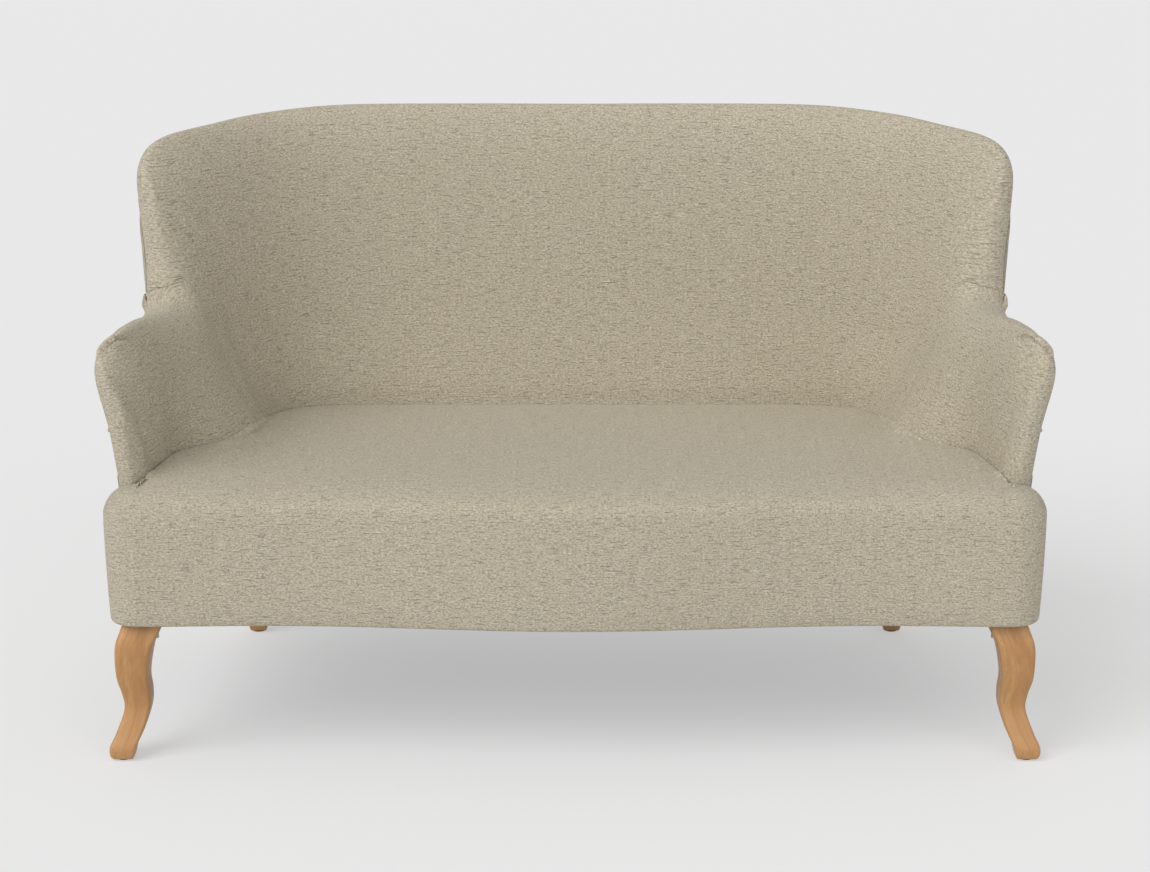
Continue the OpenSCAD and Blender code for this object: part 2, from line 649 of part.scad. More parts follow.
// Seat frame: boards sawn to the line of the covers
function flat(p) = [p[0], p[1]];
function mirror_back(points) = [for (i = [len(points) - 1:-1:0]) [-points[i][0], points[i][1]]];
front_rail_places = [for (p = seat_places) if (p[0] > 1.2) p[0]];
front_outer = [for (s = front_rail_places) inset(border_line(s), roll_end(border_line(s)), rail_inset)];
rail_end_x = half_border - rail_inset;
front_back_y = front_y(rail_end_x) + rail_inset + board_t;
front_inner = concat([[rail_end_x, front_back_y]], [for (s = front_rail_places) if (s >= 2)
    let (p = border_line(s)) [p[0], p[1] + rail_inset + board_t]]);
// The joint faces are flat as far as the corner blocks reach
front_joint_x = rail_end_x - board_t - block_w * 1.15;
front_inner_flat = concat([[rail_end_x, front_back_y], [front_joint_x, front_back_y]],
    [for (p = front_inner) if (p[0] < front_joint_x - block_w / 2) p]);
module front_rail() {
    half = front_outer;
    back = front_inner_flat;
    outline = concat(half, mirror_back([for (i = [0:len(half) - 2]) half[i]]),
        [for (i = [0:len(back) - 1]) [-back[i][0], back[i][1]]],
        [for (i = [len(back) - 2:-1:0]) back[i]]);
    difference() {
        color(beech_colour) placed() translate([0, 0, rail_z0]) linear_extrude(rail_h) polygon(outline);
        color(beech_colour) front_dowels(bore_gap);
        color(beech_colour) block_screws_at(bore_gap);
    }
}

side_rail_x = outer_skin(0, -1, board_d)[0];
side_places = places_between(0, corner_u);
side_outer = [for (u = side_places) flat(outer_skin(u, -1, board_d))];
side_inner = [for (u = side_places) flat(outer_skin(u, -1, board_d + board_t))];
module right_side_rail() {
    outline = concat([[side_rail_x, front_back_y]], side_outer,
        [for (i = [len(side_inner) - 1:-1:0]) side_inner[i]], [[side_inner[0][0], front_back_y]]);
    difference() {
        color(beech_colour) placed() translate([0, 0, rail_z0]) linear_extrude(rail_h) polygon(outline);
        color(beech_colour) front_dowels(bore_gap);
        color(beech_colour) block_screws_at(bore_gap);
        for (u = [arm_post_u, wing_post_u, back_post_u]) color(beech_colour) placed() post_dowel(u, bore_gap);
    }
}
module left_side_rail() {
    mirrored() right_side_rail();
}
rear_places = places_between(corner_u, left_end_u - corner_u);
rear_inner = [for (u = rear_places) flat(outer_skin(u, -1, board_d + board_t))];
module rear_rail() {
    outer = [for (u = rear_places) flat(outer_skin(u, -1, board_d))];
    color(beech_colour) placed() translate([0, 0, rail_z0]) linear_extrude(rail_h)
        polygon(concat(outer, [for (i = [len(rear_inner) - 1:-1:0]) rear_inner[i]]));
}

// Depth of the rails' inner faces at x
front_inner_table = [for (i = [len(front_inner_flat) - 1:-1:0]) front_inner_flat[i]];
rear_inner_table = [for (i = [len(rear_inner) - 1:-1:0]) rear_inner[i]];
function front_inner_y(x) = lookup(abs(x), front_inner_table);
function rear_inner_y(x) = lookup(x, rear_inner_table);
cross_rail_share = 0.33;
cross_x = half_border * cross_rail_share;
cross_rail_h = rail_h * 0.6;
module cross_rails() {
    for (x = [cross_x, -cross_x]) color(beech_colour) placed() translate([0, 0, rail_z0])
        linear_extrude(cross_rail_h) polygon([
            [x - board_t / 2, front_inner_y(x - board_t / 2)],
            [x + board_t / 2, front_inner_y(x + board_t / 2)],
            [x + board_t / 2, rear_inner_y(x + board_t / 2)],
            [x - board_t / 2, rear_inner_y(x - board_t / 2)]]);
}

// Corner blocks fill the corners of the rails, and take the legs' bolts
block_h = 32;
block_gap = 0.2;
front_block_x = min([for (i = [0:5]) side_inner[i][0]]) - block_gap;
front_block_y = front_back_y + block_gap;
rear_block_u = [9.5, 11.5];
rear_block_line = [for (u = places_between(rear_block_u[0], rear_block_u[1]))
    flat(outer_skin(u, -1, board_d + board_t + block_gap))];
rear_block_x = rear_block_line[len(rear_block_line) - 1][0];
rear_block_y = rear_block_line[0][1];
module corner_block_pair() {
    difference() {
        union() {
            color(beech_colour) translate([0, 0, rail_z0]) linear_extrude(block_h) polygon([
                [front_block_x, front_block_y], [front_block_x, front_block_y + block_w],
                [front_block_x - block_w / 3, front_block_y + block_w],
                [front_block_x - block_w, front_block_y + block_w / 3],
                [front_block_x - block_w, front_block_y]]);
            color(beech_colour) translate([0, 0, rail_z0]) linear_extrude(block_h)
                polygon(concat(rear_block_line, [[rear_block_x, rear_block_y]]));
        }
        for (p = [front_bolt, rear_bolt])
            color(beech_colour) translate([p[0], p[1], rail_z0 - over]) cylinder(d = bolt_d + 2 * bore_gap,
                h = block_h + 2 * over, $fn = round_fn);
    }
}
module corner_blocks() {
    for (side = [0, 1]) difference() {
        placed() mirror([side, 0, 0]) corner_block_pair();
        color(beech_colour) block_screws_at(bore_gap);
    }
}
// Screws from the front blocks into both rails
screw_z = rail_z0 + block_h / 2;
screw_inset = block_w * 0.6;
screw_in_rail = board_t * 0.75;
module block_screw_pair(gap) {
    r = screw_d / 2 + gap;
    translate([front_block_x - screw_inset, front_back_y - screw_in_rail, screw_z - screw_d])
        rotate([-90, 0, 0]) cylinder(r = r, h = block_screw_len + gap, $fn = round_fn);
    translate([front_block_x + screw_in_rail, front_back_y + screw_inset, screw_z + screw_d])
        rotate([0, -90, 0]) cylinder(r = r, h = block_screw_len + gap, $fn = round_fn);
}
block_screw_len = screw_len - block_w / 2;
module block_screws_at(gap) {
    placed() block_screw_pair(gap);
    placed() mirrored() block_screw_pair(gap);
}
module block_screws() {
    color(steel_colour) block_screws_at(0);
}

// Dowels: lying ones in the front corners, standing ones under the posts
dowel_x = side_rail_x - board_t / 2;
dowel_in_front = board_t * 0.7;
dowel_shares = [0.28, 0.72];
module front_dowels(gap) {
    for (side = [0, 1]) placed() mirror([side, 0, 0]) for (k = dowel_shares)
        translate([dowel_x, front_back_y - dowel_in_front - gap, rail_z0 + rail_h * k])
            rotate([-90, 0, 0]) cylinder(d = dowel_d + 2 * gap, h = dowel_len + 2 * gap, $fn = round_fn);
}
module post_dowel(u, gap) {
    p = outer_skin(further(u, post_w / 2), level(u, rail_top), board_d + board_t / 2);
    translate([p[0], p[1], rail_top - dowel_len / 2 - gap])
        cylinder(d = dowel_d + 2 * gap, h = dowel_len + 2 * gap, $fn = round_fn);
}
module frame_dowels() {
    color(beech_colour) front_dowels(0);
    for (side = [0, 1]) for (u = [arm_post_u, wing_post_u, back_post_u])
        color(beech_colour) placed() mirror([side, 0, 0]) post_dowel(u, 0);
}

// Springs: zigzag wires from clips on the front rail to clips on the rear rail
spring_span_share = 0.62;
function spring_x(i) = mix(-1, 1, i / (spring_count - 1)) * half_border * spring_span_share;
clip_w = 22;
clip_l = 16;
wave_points = 4;
module spring(x) {
    y0 = front_inner_y(x) - clip_l / 2;
    y1 = rear_inner_y(x) + clip_l / 2;
    waves = round((y1 - y0) / spring_pitch / 2);
    count = waves * 2 * wave_points;
    swing = (spring_w - wire_d) / 2;
    line = [for (i = [0:count]) [x + swing * sin(360 * waves * i / count), mix(y0, y1, i / count)]];
    function side(i) =
        let (a = line[max(i - 1, 0)], b = line[min(i + 1, count)], t = unit(b - a)) [t[1], -t[0]];
    translate([0, 0, spring_z]) linear_extrude(wire_d) polygon(concat(
        [for (i = [0:count]) line[i] + side(i) * wire_d / 2],
        [for (i = [count:-1:0]) line[i] - side(i) * wire_d / 2]));
}
module seat_springs() {
    for (i = [0:spring_count - 1]) color(steel_colour) placed() spring(spring_x(i));
}
module spring_clips() {
    for (i = [0:spring_count - 1]) color(steel_colour) placed() {
        x = spring_x(i);
        translate([x - clip_w / 2, front_inner_y(x) - clip_l, rail_top]) cube([clip_w, clip_l, clip_t]);
        translate([x - clip_w / 2, rear_inner_y(x), rail_top]) cube([clip_w, clip_l, clip_t]);
    }
}
tie_shares = [0.35, 0.65];
module spring_tie_wires() {
    reach = spring_x(spring_count - 1) + spring_w / 2;
    for (k = tie_shares) color(steel_colour) placed()
        translate([-reach, mix(front_back_y, rear_inner_y(0), k), tie_z + tie_d / 2])
            rotate([0, 90, 0]) cylinder(d = tie_d, h = 2 * reach, $fn = round_fn);
}
hessian_margin = 14;
module seat_hessian() {
    half = [for (place = seat_places) if (place[1] >= 1) seat_edge(place[1], hessian_margin)];
    front = [for (s = pad_places) if (s > 1)
        let (p = border_line(s)) inset(p, roll_end(p), rail_inset + hessian_margin / 2)];
    color(hessian_colour) placed() translate([0, 0, hessian_z]) linear_extrude(hessian_t)
        polygon(concat(half, mirror_back([for (i = [0:len(half) - 2]) half[i]]),
            [for (p = front) [-p[0], p[1]]], [for (i = [len(front) - 2:-1:0]) front[i]]));
}

// Legs
leg_set = 16;
front_leg = [half_border - border_taper - hem_turn - leg_set - leg_top_w / 2,
    front_y(corner_x) + border_taper + hem_turn + leg_set + leg_top_w / 2];
rear_leg_place = outer_skin(11, -1, board_d + board_t + rear_leg_top_w * 0.3);
rear_leg = [rear_leg_place[0], rear_leg_place[1]];
bolt_set = 14;
front_bolt = [front_leg[0] - bolt_set, front_leg[1] + bolt_set];
rear_bolt = [rear_leg[0] - bolt_set / 2, rear_leg[1] - bolt_set / 2];
bolt_in_leg = bolt_len / 2;
leg_corner_share = 0.14;
foot_share = 0.86;
leg_rings = 18;
ring_steps = 2;
// Each row: height share, share of the foot's kick, width
front_leg_shares = [[0, 1, foot_w * foot_share], [0.03, 1.02, foot_w], [0.09, 0.97, leg_ankle_w],
    [0.18, 0.71, leg_ankle_w * 1.01], [0.34, 0.38, leg_ankle_w * 0.98],
    [0.46, 0.38, mix(leg_ankle_w, leg_top_w, 0.14)],
    [0.6, 0.5, mix(leg_ankle_w, leg_top_w, 0.36)], [0.81, 0.4, mix(leg_ankle_w, leg_top_w, 0.74)],
    [0.93, 0.12, mix(leg_ankle_w, leg_top_w, 0.95)], [1, 0, leg_top_w * 0.92]];
rear_leg_shares = [[0, 1, rear_foot_w * foot_share], [0.05, 0.96, rear_foot_w],
    [0.25, 0.74, mix(rear_foot_w, rear_leg_top_w, 0.15)], [0.6, 0.33, mix(rear_foot_w, rear_leg_top_w, 0.5)],
    [1, 0, rear_leg_top_w]];
function square_ring(c, w, z) =
    let (r = w * leg_corner_share, h = w / 2 - r)
    [for (k = [0:3]) for (i = [0:ring_steps]) let (a = 90 * k + 90 * i / ring_steps)
        [c[0] + h * (k == 0 || k == 3 ? 1 : -1) + r * cos(a), c[1] + h * (k < 2 ? 1 : -1) + r * sin(a), z]];
// Leg swept through its rows; kick is the way that the foot stands out
module leg(top, rows, kick) {
    last = len(rows) - 1;
    rings = [for (i = [0:leg_rings]) let (r = curve(rows, last * i / leg_rings))
        square_ring(top + kick * r[1], r[2], mix(glide_h, rail_z0, i == 0 ? 0 : i == leg_rings ? 1 : r[0]))];
    count = len(rings[0]);
    faces = concat(
        [for (i = [0:leg_rings - 1]) for (k = [0:count - 1]) let (n = (k + 1) % count)
            for (f = [[i * count + k, (i + 1) * count + n, i * count + n],
                      [i * count + k, (i + 1) * count + k, (i + 1) * count + n]]) f],
        [for (k = [1:count - 2]) [0, k, k + 1]],
        [for (k = [1:count - 2]) [leg_rings * count, leg_rings * count + k + 1, leg_rings * count + k]]);
    polyhedron([for (r = rings) for (p = r) p], faces, convexity = 6);
}
module bolt_bore(p) {
    translate([p[0], p[1], rail_z0 - bolt_in_leg - bore_gap])
        cylinder(d = bolt_d + 2 * bore_gap, h = bolt_in_leg + bore_gap + over, $fn = round_fn);
}
module right_front_leg() {
    placed() difference() {
        color(oak_colour) leg(front_leg, front_leg_shares, [foot_kick, -foot_kick]);
        color(oak_colour) bolt_bore(front_bolt);
    }
}
module left_front_leg() {
    mirrored() right_front_leg();
}
module right_rear_leg() {
    placed() difference() {
        color(oak_colour) leg(rear_leg, rear_leg_shares, [0, rear_kick]);
        color(oak_colour) bolt_bore(rear_bolt);
    }
}
module left_rear_leg() {
    mirrored() right_rear_leg();
}
nut_h = 6.5;
nut_w = 15;
nut_seat_h = 2;
module hanger_bolts() {
    for (side = [0, 1]) color(steel_colour) placed() mirror([side, 0, 0]) for (p = [front_bolt, rear_bolt])
        translate([p[0], p[1], rail_z0 - bolt_in_leg]) cylinder(d = bolt_d, h = bolt_len, $fn = round_fn);
}
module leg_nut() {
    difference() {
        union() {
            color(steel_colour) cylinder(d = nut_w * 1.5, h = nut_seat_h, $fn = round_fn);
            color(steel_colour) translate([0, 0, nut_seat_h]) cylinder(d = nut_w, h = nut_h, $fn = 6);
        }
        color(steel_colour) translate([0, 0, -over])
            cylinder(d = bolt_d + 2 * bore_gap, h = nut_h + nut_seat_h + 2 * over, $fn = round_fn);
    }
}
module leg_nuts() {
    for (side = [0, 1]) placed() mirror([side, 0, 0]) for (p = [front_bolt, rear_bolt])
        translate([p[0], p[1], rail_z0 + block_h]) leg_nut();
}
module leg_glides() {
    for (side = [0, 1]) color(black_colour) placed() mirror([side, 0, 0])
        for (p = [front_leg + [foot_kick, -foot_kick], rear_leg + [0, rear_kick]])
            translate([p[0], p[1], 0]) cylinder(d = glide_d, h = glide_h, $fn = round_fn);
}

// Dust cover under the rails, cut out round the legs
leg_hole_gap = 1;
module dust_cover() {
    inset_d = border_taper + hem_turn + cover_t + soft_gap;
    front = [for (s = pad_places) inset(border_line(s), roll_end(border_line(s)), inset_d)];
    rear = [for (u = places_between(0, middle_u)) flat(outer_skin(u, -1, cover_t + soft_gap))];
    outline = concat(front, mirror_back([for (i = [0:len(front) - 2]) front[i]]),
        [for (p = rear) [-p[0], p[1]]], [for (i = [len(rear) - 2:-1:0]) rear[i]]);
    color(black_colour) placed() translate([0, 0, hem_z + soft_gap]) linear_extrude(dust_t) difference() {
        polygon(outline);
        for (side = [0, 1]) mirror([side, 0]) {
            translate(front_leg - [1, -1] * (leg_top_w / 2 + leg_hole_gap)) mirror([0, 1])
                square(leg_top_w + 2 * leg_set);
            translate(rear_leg) square(rear_leg_top_w + 2 * leg_hole_gap, center = true);
        }
    }
}

// The plan is centred between the front of the border and the rearmost point of the back
rear_reach = max(concat([for (p = cover_section(middle_u, 0)) p[1]],
    [for (w = outer_levels(middle_u)) outer_skin(middle_u, w, 0)[1]]));
plan_shift = -(front_y(0) + rear_reach) / 2;

seat_cover();
inside_back_cover();
left_inside_arm_cover();
right_inside_arm_cover();
left_outside_arm_cover();
right_outside_arm_cover();
outside_back_cover();
dust_cover();
seat_foam();
border_pad();
back_foam();
left_arm_foam();
right_arm_foam();
seat_hessian();
seat_springs();
spring_clips();
spring_tie_wires();
back_webbing();
back_hessian();
front_rail();
rear_rail();
left_side_rail();
right_side_rail();
cross_rails();
corner_blocks();
left_arm_post();
right_arm_post();
left_back_post();
right_back_post();
left_wing_post();
right_wing_post();
left_arm_rail();
right_arm_rail();
left_wing_rail();
right_wing_rail();
top_rail();
lower_back_rail();
left_lower_arm_rail();
right_lower_arm_rail();
back_slats();
frame_dowels();
block_screws();
left_front_leg();
right_front_leg();
left_rear_leg();
right_rear_leg();
hanger_bolts();
leg_nuts();
leg_glides();
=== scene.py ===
# %% [markdown]
# # A high back settee in one oatmeal fabric
# The frame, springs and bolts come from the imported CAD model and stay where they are.
# What a hand touches is made here: the stuffed seat with its rolled front border, the
# arms, the winged back, the cloth behind them and the four curved oak legs.
# Everything is in metres, with X to the right, Y to the back and Z up from the floor.

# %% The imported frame
import math

import bmesh
import bpy
import numpy as np
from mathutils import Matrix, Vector


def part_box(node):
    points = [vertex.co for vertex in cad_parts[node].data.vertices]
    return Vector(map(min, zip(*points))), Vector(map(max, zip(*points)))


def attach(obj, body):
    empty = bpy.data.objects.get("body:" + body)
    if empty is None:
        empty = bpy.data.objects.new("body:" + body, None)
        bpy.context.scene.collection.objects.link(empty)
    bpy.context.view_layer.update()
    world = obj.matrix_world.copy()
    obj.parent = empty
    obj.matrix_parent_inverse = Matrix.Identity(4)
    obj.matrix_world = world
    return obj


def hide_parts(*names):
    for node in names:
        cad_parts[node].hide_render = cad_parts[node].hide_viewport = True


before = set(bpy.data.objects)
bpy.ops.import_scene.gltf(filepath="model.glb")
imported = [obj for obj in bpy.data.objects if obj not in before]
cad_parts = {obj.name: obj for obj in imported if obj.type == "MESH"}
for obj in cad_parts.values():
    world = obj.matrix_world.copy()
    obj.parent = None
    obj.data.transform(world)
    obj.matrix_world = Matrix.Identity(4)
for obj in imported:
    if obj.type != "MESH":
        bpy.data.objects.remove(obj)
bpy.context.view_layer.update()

# %% [markdown]
# The camera stands 3.86 m in front of the settee, at the height of a standing person's
# chest, and looks down by 14.6 degrees. A long lens keeps the two arms nearly parallel,
# as in a catalogue picture.

# %% Camera
eye_y, eye_z, look_down, lens, film_width = -3.862, 1.433, 14.6, 76.4, 36
camera = bpy.data.objects.new("camera", bpy.data.cameras.new("camera"))
camera.data.sensor_width = film_width
camera.data.lens = lens
camera.location = (0, eye_y, eye_z)
camera.rotation_euler = (math.radians(90 - look_down), 0, 0)
bpy.context.scene.collection.objects.link(camera)
bpy.context.scene.camera = camera
print("camera", tuple(camera.location))

# %% [markdown]
# A material is a small graph of nodes. These helpers add a node with its values and
# join it to others, so that each recipe below reads as a list of what it is made of.
# Colours are written as they look on a screen, from 0 to 255, and turned linear here.


# %% Helpers for materials
def screen(r, g, b):
    def linear(v):
        v /= 255
        return v / 12.92 if v <= 0.04045 else ((v + 0.055) / 1.055) ** 2.4

    return linear(r), linear(g), linear(b), 1


def new_finish(name):
    finish = bpy.data.materials.new(name)
    finish.use_nodes = True
    return finish, finish.node_tree, finish.node_tree.nodes["Principled BSDF"]


def add(tree, kind, settings=None, **inputs):
    node = tree.nodes.new(kind)
    for key, value in (settings or {}).items():
        setattr(node, key, value)
    for key, value in inputs.items():
        socket = node.inputs[int(key[1:])] if key[0] == "i" and key[1:].isdigit() else node.inputs[key]
        if isinstance(value, bpy.types.NodeSocket):
            tree.links.new(value, socket)
        else:
            socket.default_value = value
    return node


def calc(tree, operation, a, b=0.0):
    return add(tree, "ShaderNodeMath", {"operation": operation}, i0=a, i1=b).outputs[0]


def blend(tree, factor, a, b, kind="MIX"):
    node = tree.nodes.new("ShaderNodeMix")
    node.data_type = "RGBA"
    node.blend_type = kind
    for socket, value in ((node.inputs[0], factor), (node.inputs[6], a), (node.inputs[7], b)):
        if isinstance(value, bpy.types.NodeSocket):
            tree.links.new(value, socket)
        else:
            socket.default_value = value
    return node.outputs[2]


def spread(tree, value, low, high, to_low=0.0, to_high=1.0):
    node = add(tree, "ShaderNodeMapRange", None, i0=value, i1=low, i2=high, i3=to_low, i4=to_high)
    return node.outputs[0]


def noise(tree, vector, scale, detail=2.0, roughness=0.5, distortion=0.0):
    node = add(tree, "ShaderNodeTexNoise", None, Vector=vector, Scale=scale, Detail=detail,
               Roughness=roughness, Distortion=distortion)
    return node.outputs["Fac"]


def stretched(tree, vector, scale, turn=(0, 0, 0)):
    node = add(tree, "ShaderNodeMapping", None, Vector=vector, Scale=scale, Rotation=turn)
    return node.outputs["Vector"]


def bumped(tree, shader, height, distance, strength=1.0):
    bump = add(tree, "ShaderNodeBump", None, Height=height, Distance=distance, Strength=strength)
    tree.links.new(bump.outputs["Normal"], shader.inputs["Normal"])


print("helpers ready")

# %% [markdown]
# The cover is a plain weave of thick and thin yarn. Seen close, fat slubs make little
# horizontal bumps of 3 to 6 mm, with a paler dash here and there. Its tone is painted
# lighter on the raised nubs and darker between them, and darker dashes are painted into
# the sunken hollows of the weave. Both are painted shade of the weave's relief, over a tone
# that varies at random. The pattern reads the cut cloth's own flat coordinates in metres,
# so it bends with the cover.


# %% Oatmeal weave
def oatmeal_weave():
    finish, tree, shader = new_finish("oatmeal_weave")
    flat = add(tree, "ShaderNodeUVMap", {"uv_map": "cut"}).outputs["UV"]
    nubs = noise(tree, stretched(tree, flat, (230, 400, 1)), 1.0, 2.0, 0.55)
    threads = noise(tree, stretched(tree, flat, (480, 900, 1)), 1.0, 1.0, 0.5)
    slubs = noise(tree, stretched(tree, flat, (46, 430, 1)), 1.0, 1.0, 0.4)
    hollows = noise(tree, stretched(tree, flat, (52, 400, 7)), 1.0, 1.0, 0.4)
    patches = noise(tree, flat, 5.0, 3.0, 0.55)
    pale_slub = spread(tree, slubs, 0.62, 0.72)
    # Painted shade: a mask of dashes where the bump sinks the weave into hollows, darkened there as shade
    # would.
    painted_hollow_shade = spread(tree, hollows, 0.61, 0.70)
    # Painted light and shade, partly. The tone varies at random with the yarn, but it follows the same nubs
    # and threads that the bump raises, so raised nubs are painted paler and the gaps between them darker.
    grain = calc(tree, "ADD", calc(tree, "MULTIPLY", nubs, 0.55), calc(tree, "MULTIPLY", threads, 0.45))
    colour = blend(tree, spread(tree, grain, 0.36, 0.64), screen(148, 139, 120), screen(214, 205, 184))
    colour = blend(tree, calc(tree, "MULTIPLY", pale_slub, 0.45), colour, screen(232, 223, 202))
    # Painted shade in the weave's sunken hollows: a darker brown laid over the tone.
    colour = blend(tree, calc(tree, "MULTIPLY", painted_hollow_shade, 0.45), colour, screen(120, 112, 96))
    colour = blend(tree, spread(tree, patches, 0.3, 0.7, 0.0, 0.10), colour, screen(172, 160, 136))
    tree.links.new(colour, shader.inputs["Base Color"])
    height = calc(tree, "ADD", nubs, calc(tree, "MULTIPLY", threads, 0.5))
    height = calc(tree, "ADD", height, calc(tree, "MULTIPLY", pale_slub, 0.2))
    height = calc(tree, "SUBTRACT", height, calc(tree, "MULTIPLY", painted_hollow_shade, 0.3))
    bumped(tree, shader, height, 0.0022, 0.8)
    shader.inputs["Roughness"].default_value = 0.92
    shader.inputs["Specular IOR Level"].default_value = 0.2
    shader.inputs["Sheen Weight"].default_value = 0.12
    shader.inputs["Sheen Roughness"].default_value = 0.5
    return finish


cover_cloth = oatmeal_weave()
print("cloth", cover_cloth.name)

# %% [markdown]
# The legs are solid oak under a thin matt lacquer. The grain runs along the leg and
# follows its bend, because each leg was sawn from a plank and its pattern here reads an
# attribute that is laid along the leg's own line: across, across and along, in metres.


# %% Oak
def lacquered_oak():
    finish, tree, shader = new_finish("oak")
    grain = add(tree, "ShaderNodeAttribute", {"attribute_name": "grain"}).outputs["Vector"]
    bands = noise(tree, stretched(tree, grain, (55, 90, 4.5)), 1.0, 3.0, 0.55, 0.6)
    fibres = noise(tree, stretched(tree, grain, (620, 620, 14)), 1.0, 2.0, 0.6)
    pores = noise(tree, stretched(tree, grain, (900, 900, 45)), 1.0, 1.0, 0.5)
    broad = noise(tree, stretched(tree, grain, (9, 9, 2)), 1.0, 2.0, 0.5)
    colour = blend(tree, spread(tree, bands, 0.3, 0.72), screen(192, 146, 93), screen(164, 115, 65))
    colour = blend(tree, spread(tree, fibres, 0.38, 0.7, 0.0, 0.45), colour, screen(150, 100, 54))
    colour = blend(tree, spread(tree, pores, 0.66, 0.74, 0.0, 0.55), colour, screen(112, 72, 38))
    colour = blend(tree, spread(tree, broad, 0.35, 0.65, 0.0, 0.18), colour, screen(206, 160, 106))
    tree.links.new(colour, shader.inputs["Base Color"])
    gloss = spread(tree, fibres, 0.3, 0.7, 0.38, 0.5)
    tree.links.new(gloss, shader.inputs["Roughness"])
    shader.inputs["Coat Weight"].default_value = 0.12
    shader.inputs["Coat Roughness"].default_value = 0.35
    bumped(tree, shader, calc(tree, "ADD", fibres, calc(tree, "MULTIPLY", pores, -0.6)), 0.0003, 0.5)
    return finish


oak = lacquered_oak()
print("wood", oak.name)

# %% [markdown]
# The hidden parts have plainer finishes: sawn beech, polyurethane foam, jute hessian,
# bright steel wire, black lining cloth and black plastic. They read object coordinates,
# since nothing about them follows a surface.


# %% Hidden finishes
def plain_finish(name, light, dark, scale, roughness, depth, metal=0.0, detail=3.0):
    finish, tree, shader = new_finish(name)
    place = add(tree, "ShaderNodeTexCoord").outputs["Object"]
    speck = noise(tree, stretched(tree, place, scale), 1.0, detail, 0.6)
    broad = noise(tree, place, 6.0, 2.0, 0.5)
    colour = blend(tree, spread(tree, speck, 0.3, 0.7), screen(*light), screen(*dark))
    colour = blend(tree, spread(tree, broad, 0.3, 0.7, 0.0, 0.25), colour, screen(*dark))
    tree.links.new(colour, shader.inputs["Base Color"])
    rough = spread(tree, speck, 0.3, 0.7, roughness - 0.06, roughness + 0.06)
    tree.links.new(rough, shader.inputs["Roughness"])
    shader.inputs["Metallic"].default_value = metal
    bumped(tree, shader, speck, depth, 0.6)
    return finish


beech = plain_finish("beech", (216, 184, 142), (186, 148, 104), (40, 40, 240), 0.6, 0.0003)
foam = plain_finish("foam", (236, 222, 172), (218, 200, 146), (420, 420, 420), 0.95, 0.0012)
hessian = plain_finish("hessian", (186, 154, 108), (140, 110, 72), (500, 500, 500), 0.9, 0.0006)
steel = plain_finish("steel", (176, 178, 180), (142, 145, 149), (300, 300, 300), 0.34, 0.00005, 1.0)
lining = plain_finish("black_lining", (52, 52, 54), (34, 34, 36), (700, 700, 700), 0.95, 0.0004)
plastic = plain_finish("black_plastic", (38, 38, 40), (26, 26, 28), (500, 500, 500), 0.5, 0.0001)
print("hidden finishes", [m.name for m in (beech, foam, hessian, steel, lining, plastic)])

# %% [markdown]
# The arms, wings and back are one tub: a sheet that starts at the foot of the right
# arm's front edge, climbs it, runs back along the arm, up the wing, across the back
# and down again on the left. Two tables give its middle surface, one row per place:
# the rim, and the foot where the covers are tucked in beside the seat.

# %% The tub in tables
arms_w, arm_d, back_h, arm_h, seat_h, hem_z = 1.456, 0.594, 0.928, 0.652, 0.434, 0.216
nose_t, arm_t, arm_roll_t, wing_t, back_t, back_foot_t = 0.045, 0.170, 0.108, 0.064, 0.088, 0.100
back_hollow, rim_roll, tuck_depth = 0.014, 0.030, 0.034
tuck_z = seat_h - tuck_depth
half_w, half_border = arms_w / 2, arms_w / 2 - 0.011
arm_rim_z, back_rim_z = arm_h - nose_t / 2, back_h - rim_roll
nose_front_y = -nose_t / 2
border_end_y = nose_front_y - 0.0003
seam_share, outside_top_share, nose_seam_share = 0.93, 0.928, 0.09
wing_u, corner_u, middle_u, probe = 6.5, 12.0, 15.0, 0.01


def mix(a, b, share):
    return a + (b - a) * share


rim_shares = [
    (0.923, 0.000, 0.00, nose_t / 2, nose_t / 2), (0.944, 0.000, 0.48, nose_t / 2, nose_t / 2),
    (0.969, 0.006, 0.86, nose_t / 2, nose_t / 2), (0.944, 0.056, 1.00, nose_t * 0.56, nose_t / 2),
    (0.927, 0.222, 0.97, arm_roll_t * 0.36, rim_roll * 0.9), (0.902, 0.391, 0.93, arm_roll_t / 2, rim_roll),
    (0.896, 0.508, 1.00, arm_roll_t * 0.46, rim_roll), (0.914, 0.562, 1.26, wing_t * 0.56, rim_roll),
    (0.934, 0.599, 1.62, wing_t / 2, rim_roll), (0.940, 0.620, 1.80, wing_t * 0.48, rim_roll),
    (0.915, 0.660, 1.895, wing_t / 2, rim_roll),
    (0.824, 0.769, 1.94, mix(wing_t, back_t, 0.25) / 2, rim_roll),
    (0.714, 0.879, 1.98, mix(wing_t, back_t, 0.55) / 2, rim_roll),
    (0.550, 0.960, 2.005, back_t / 2, rim_roll),
    (0.275, 0.995, 2.003, back_t / 2, rim_roll), (0.000, 1.000, 2.00, back_t / 2, rim_roll)]
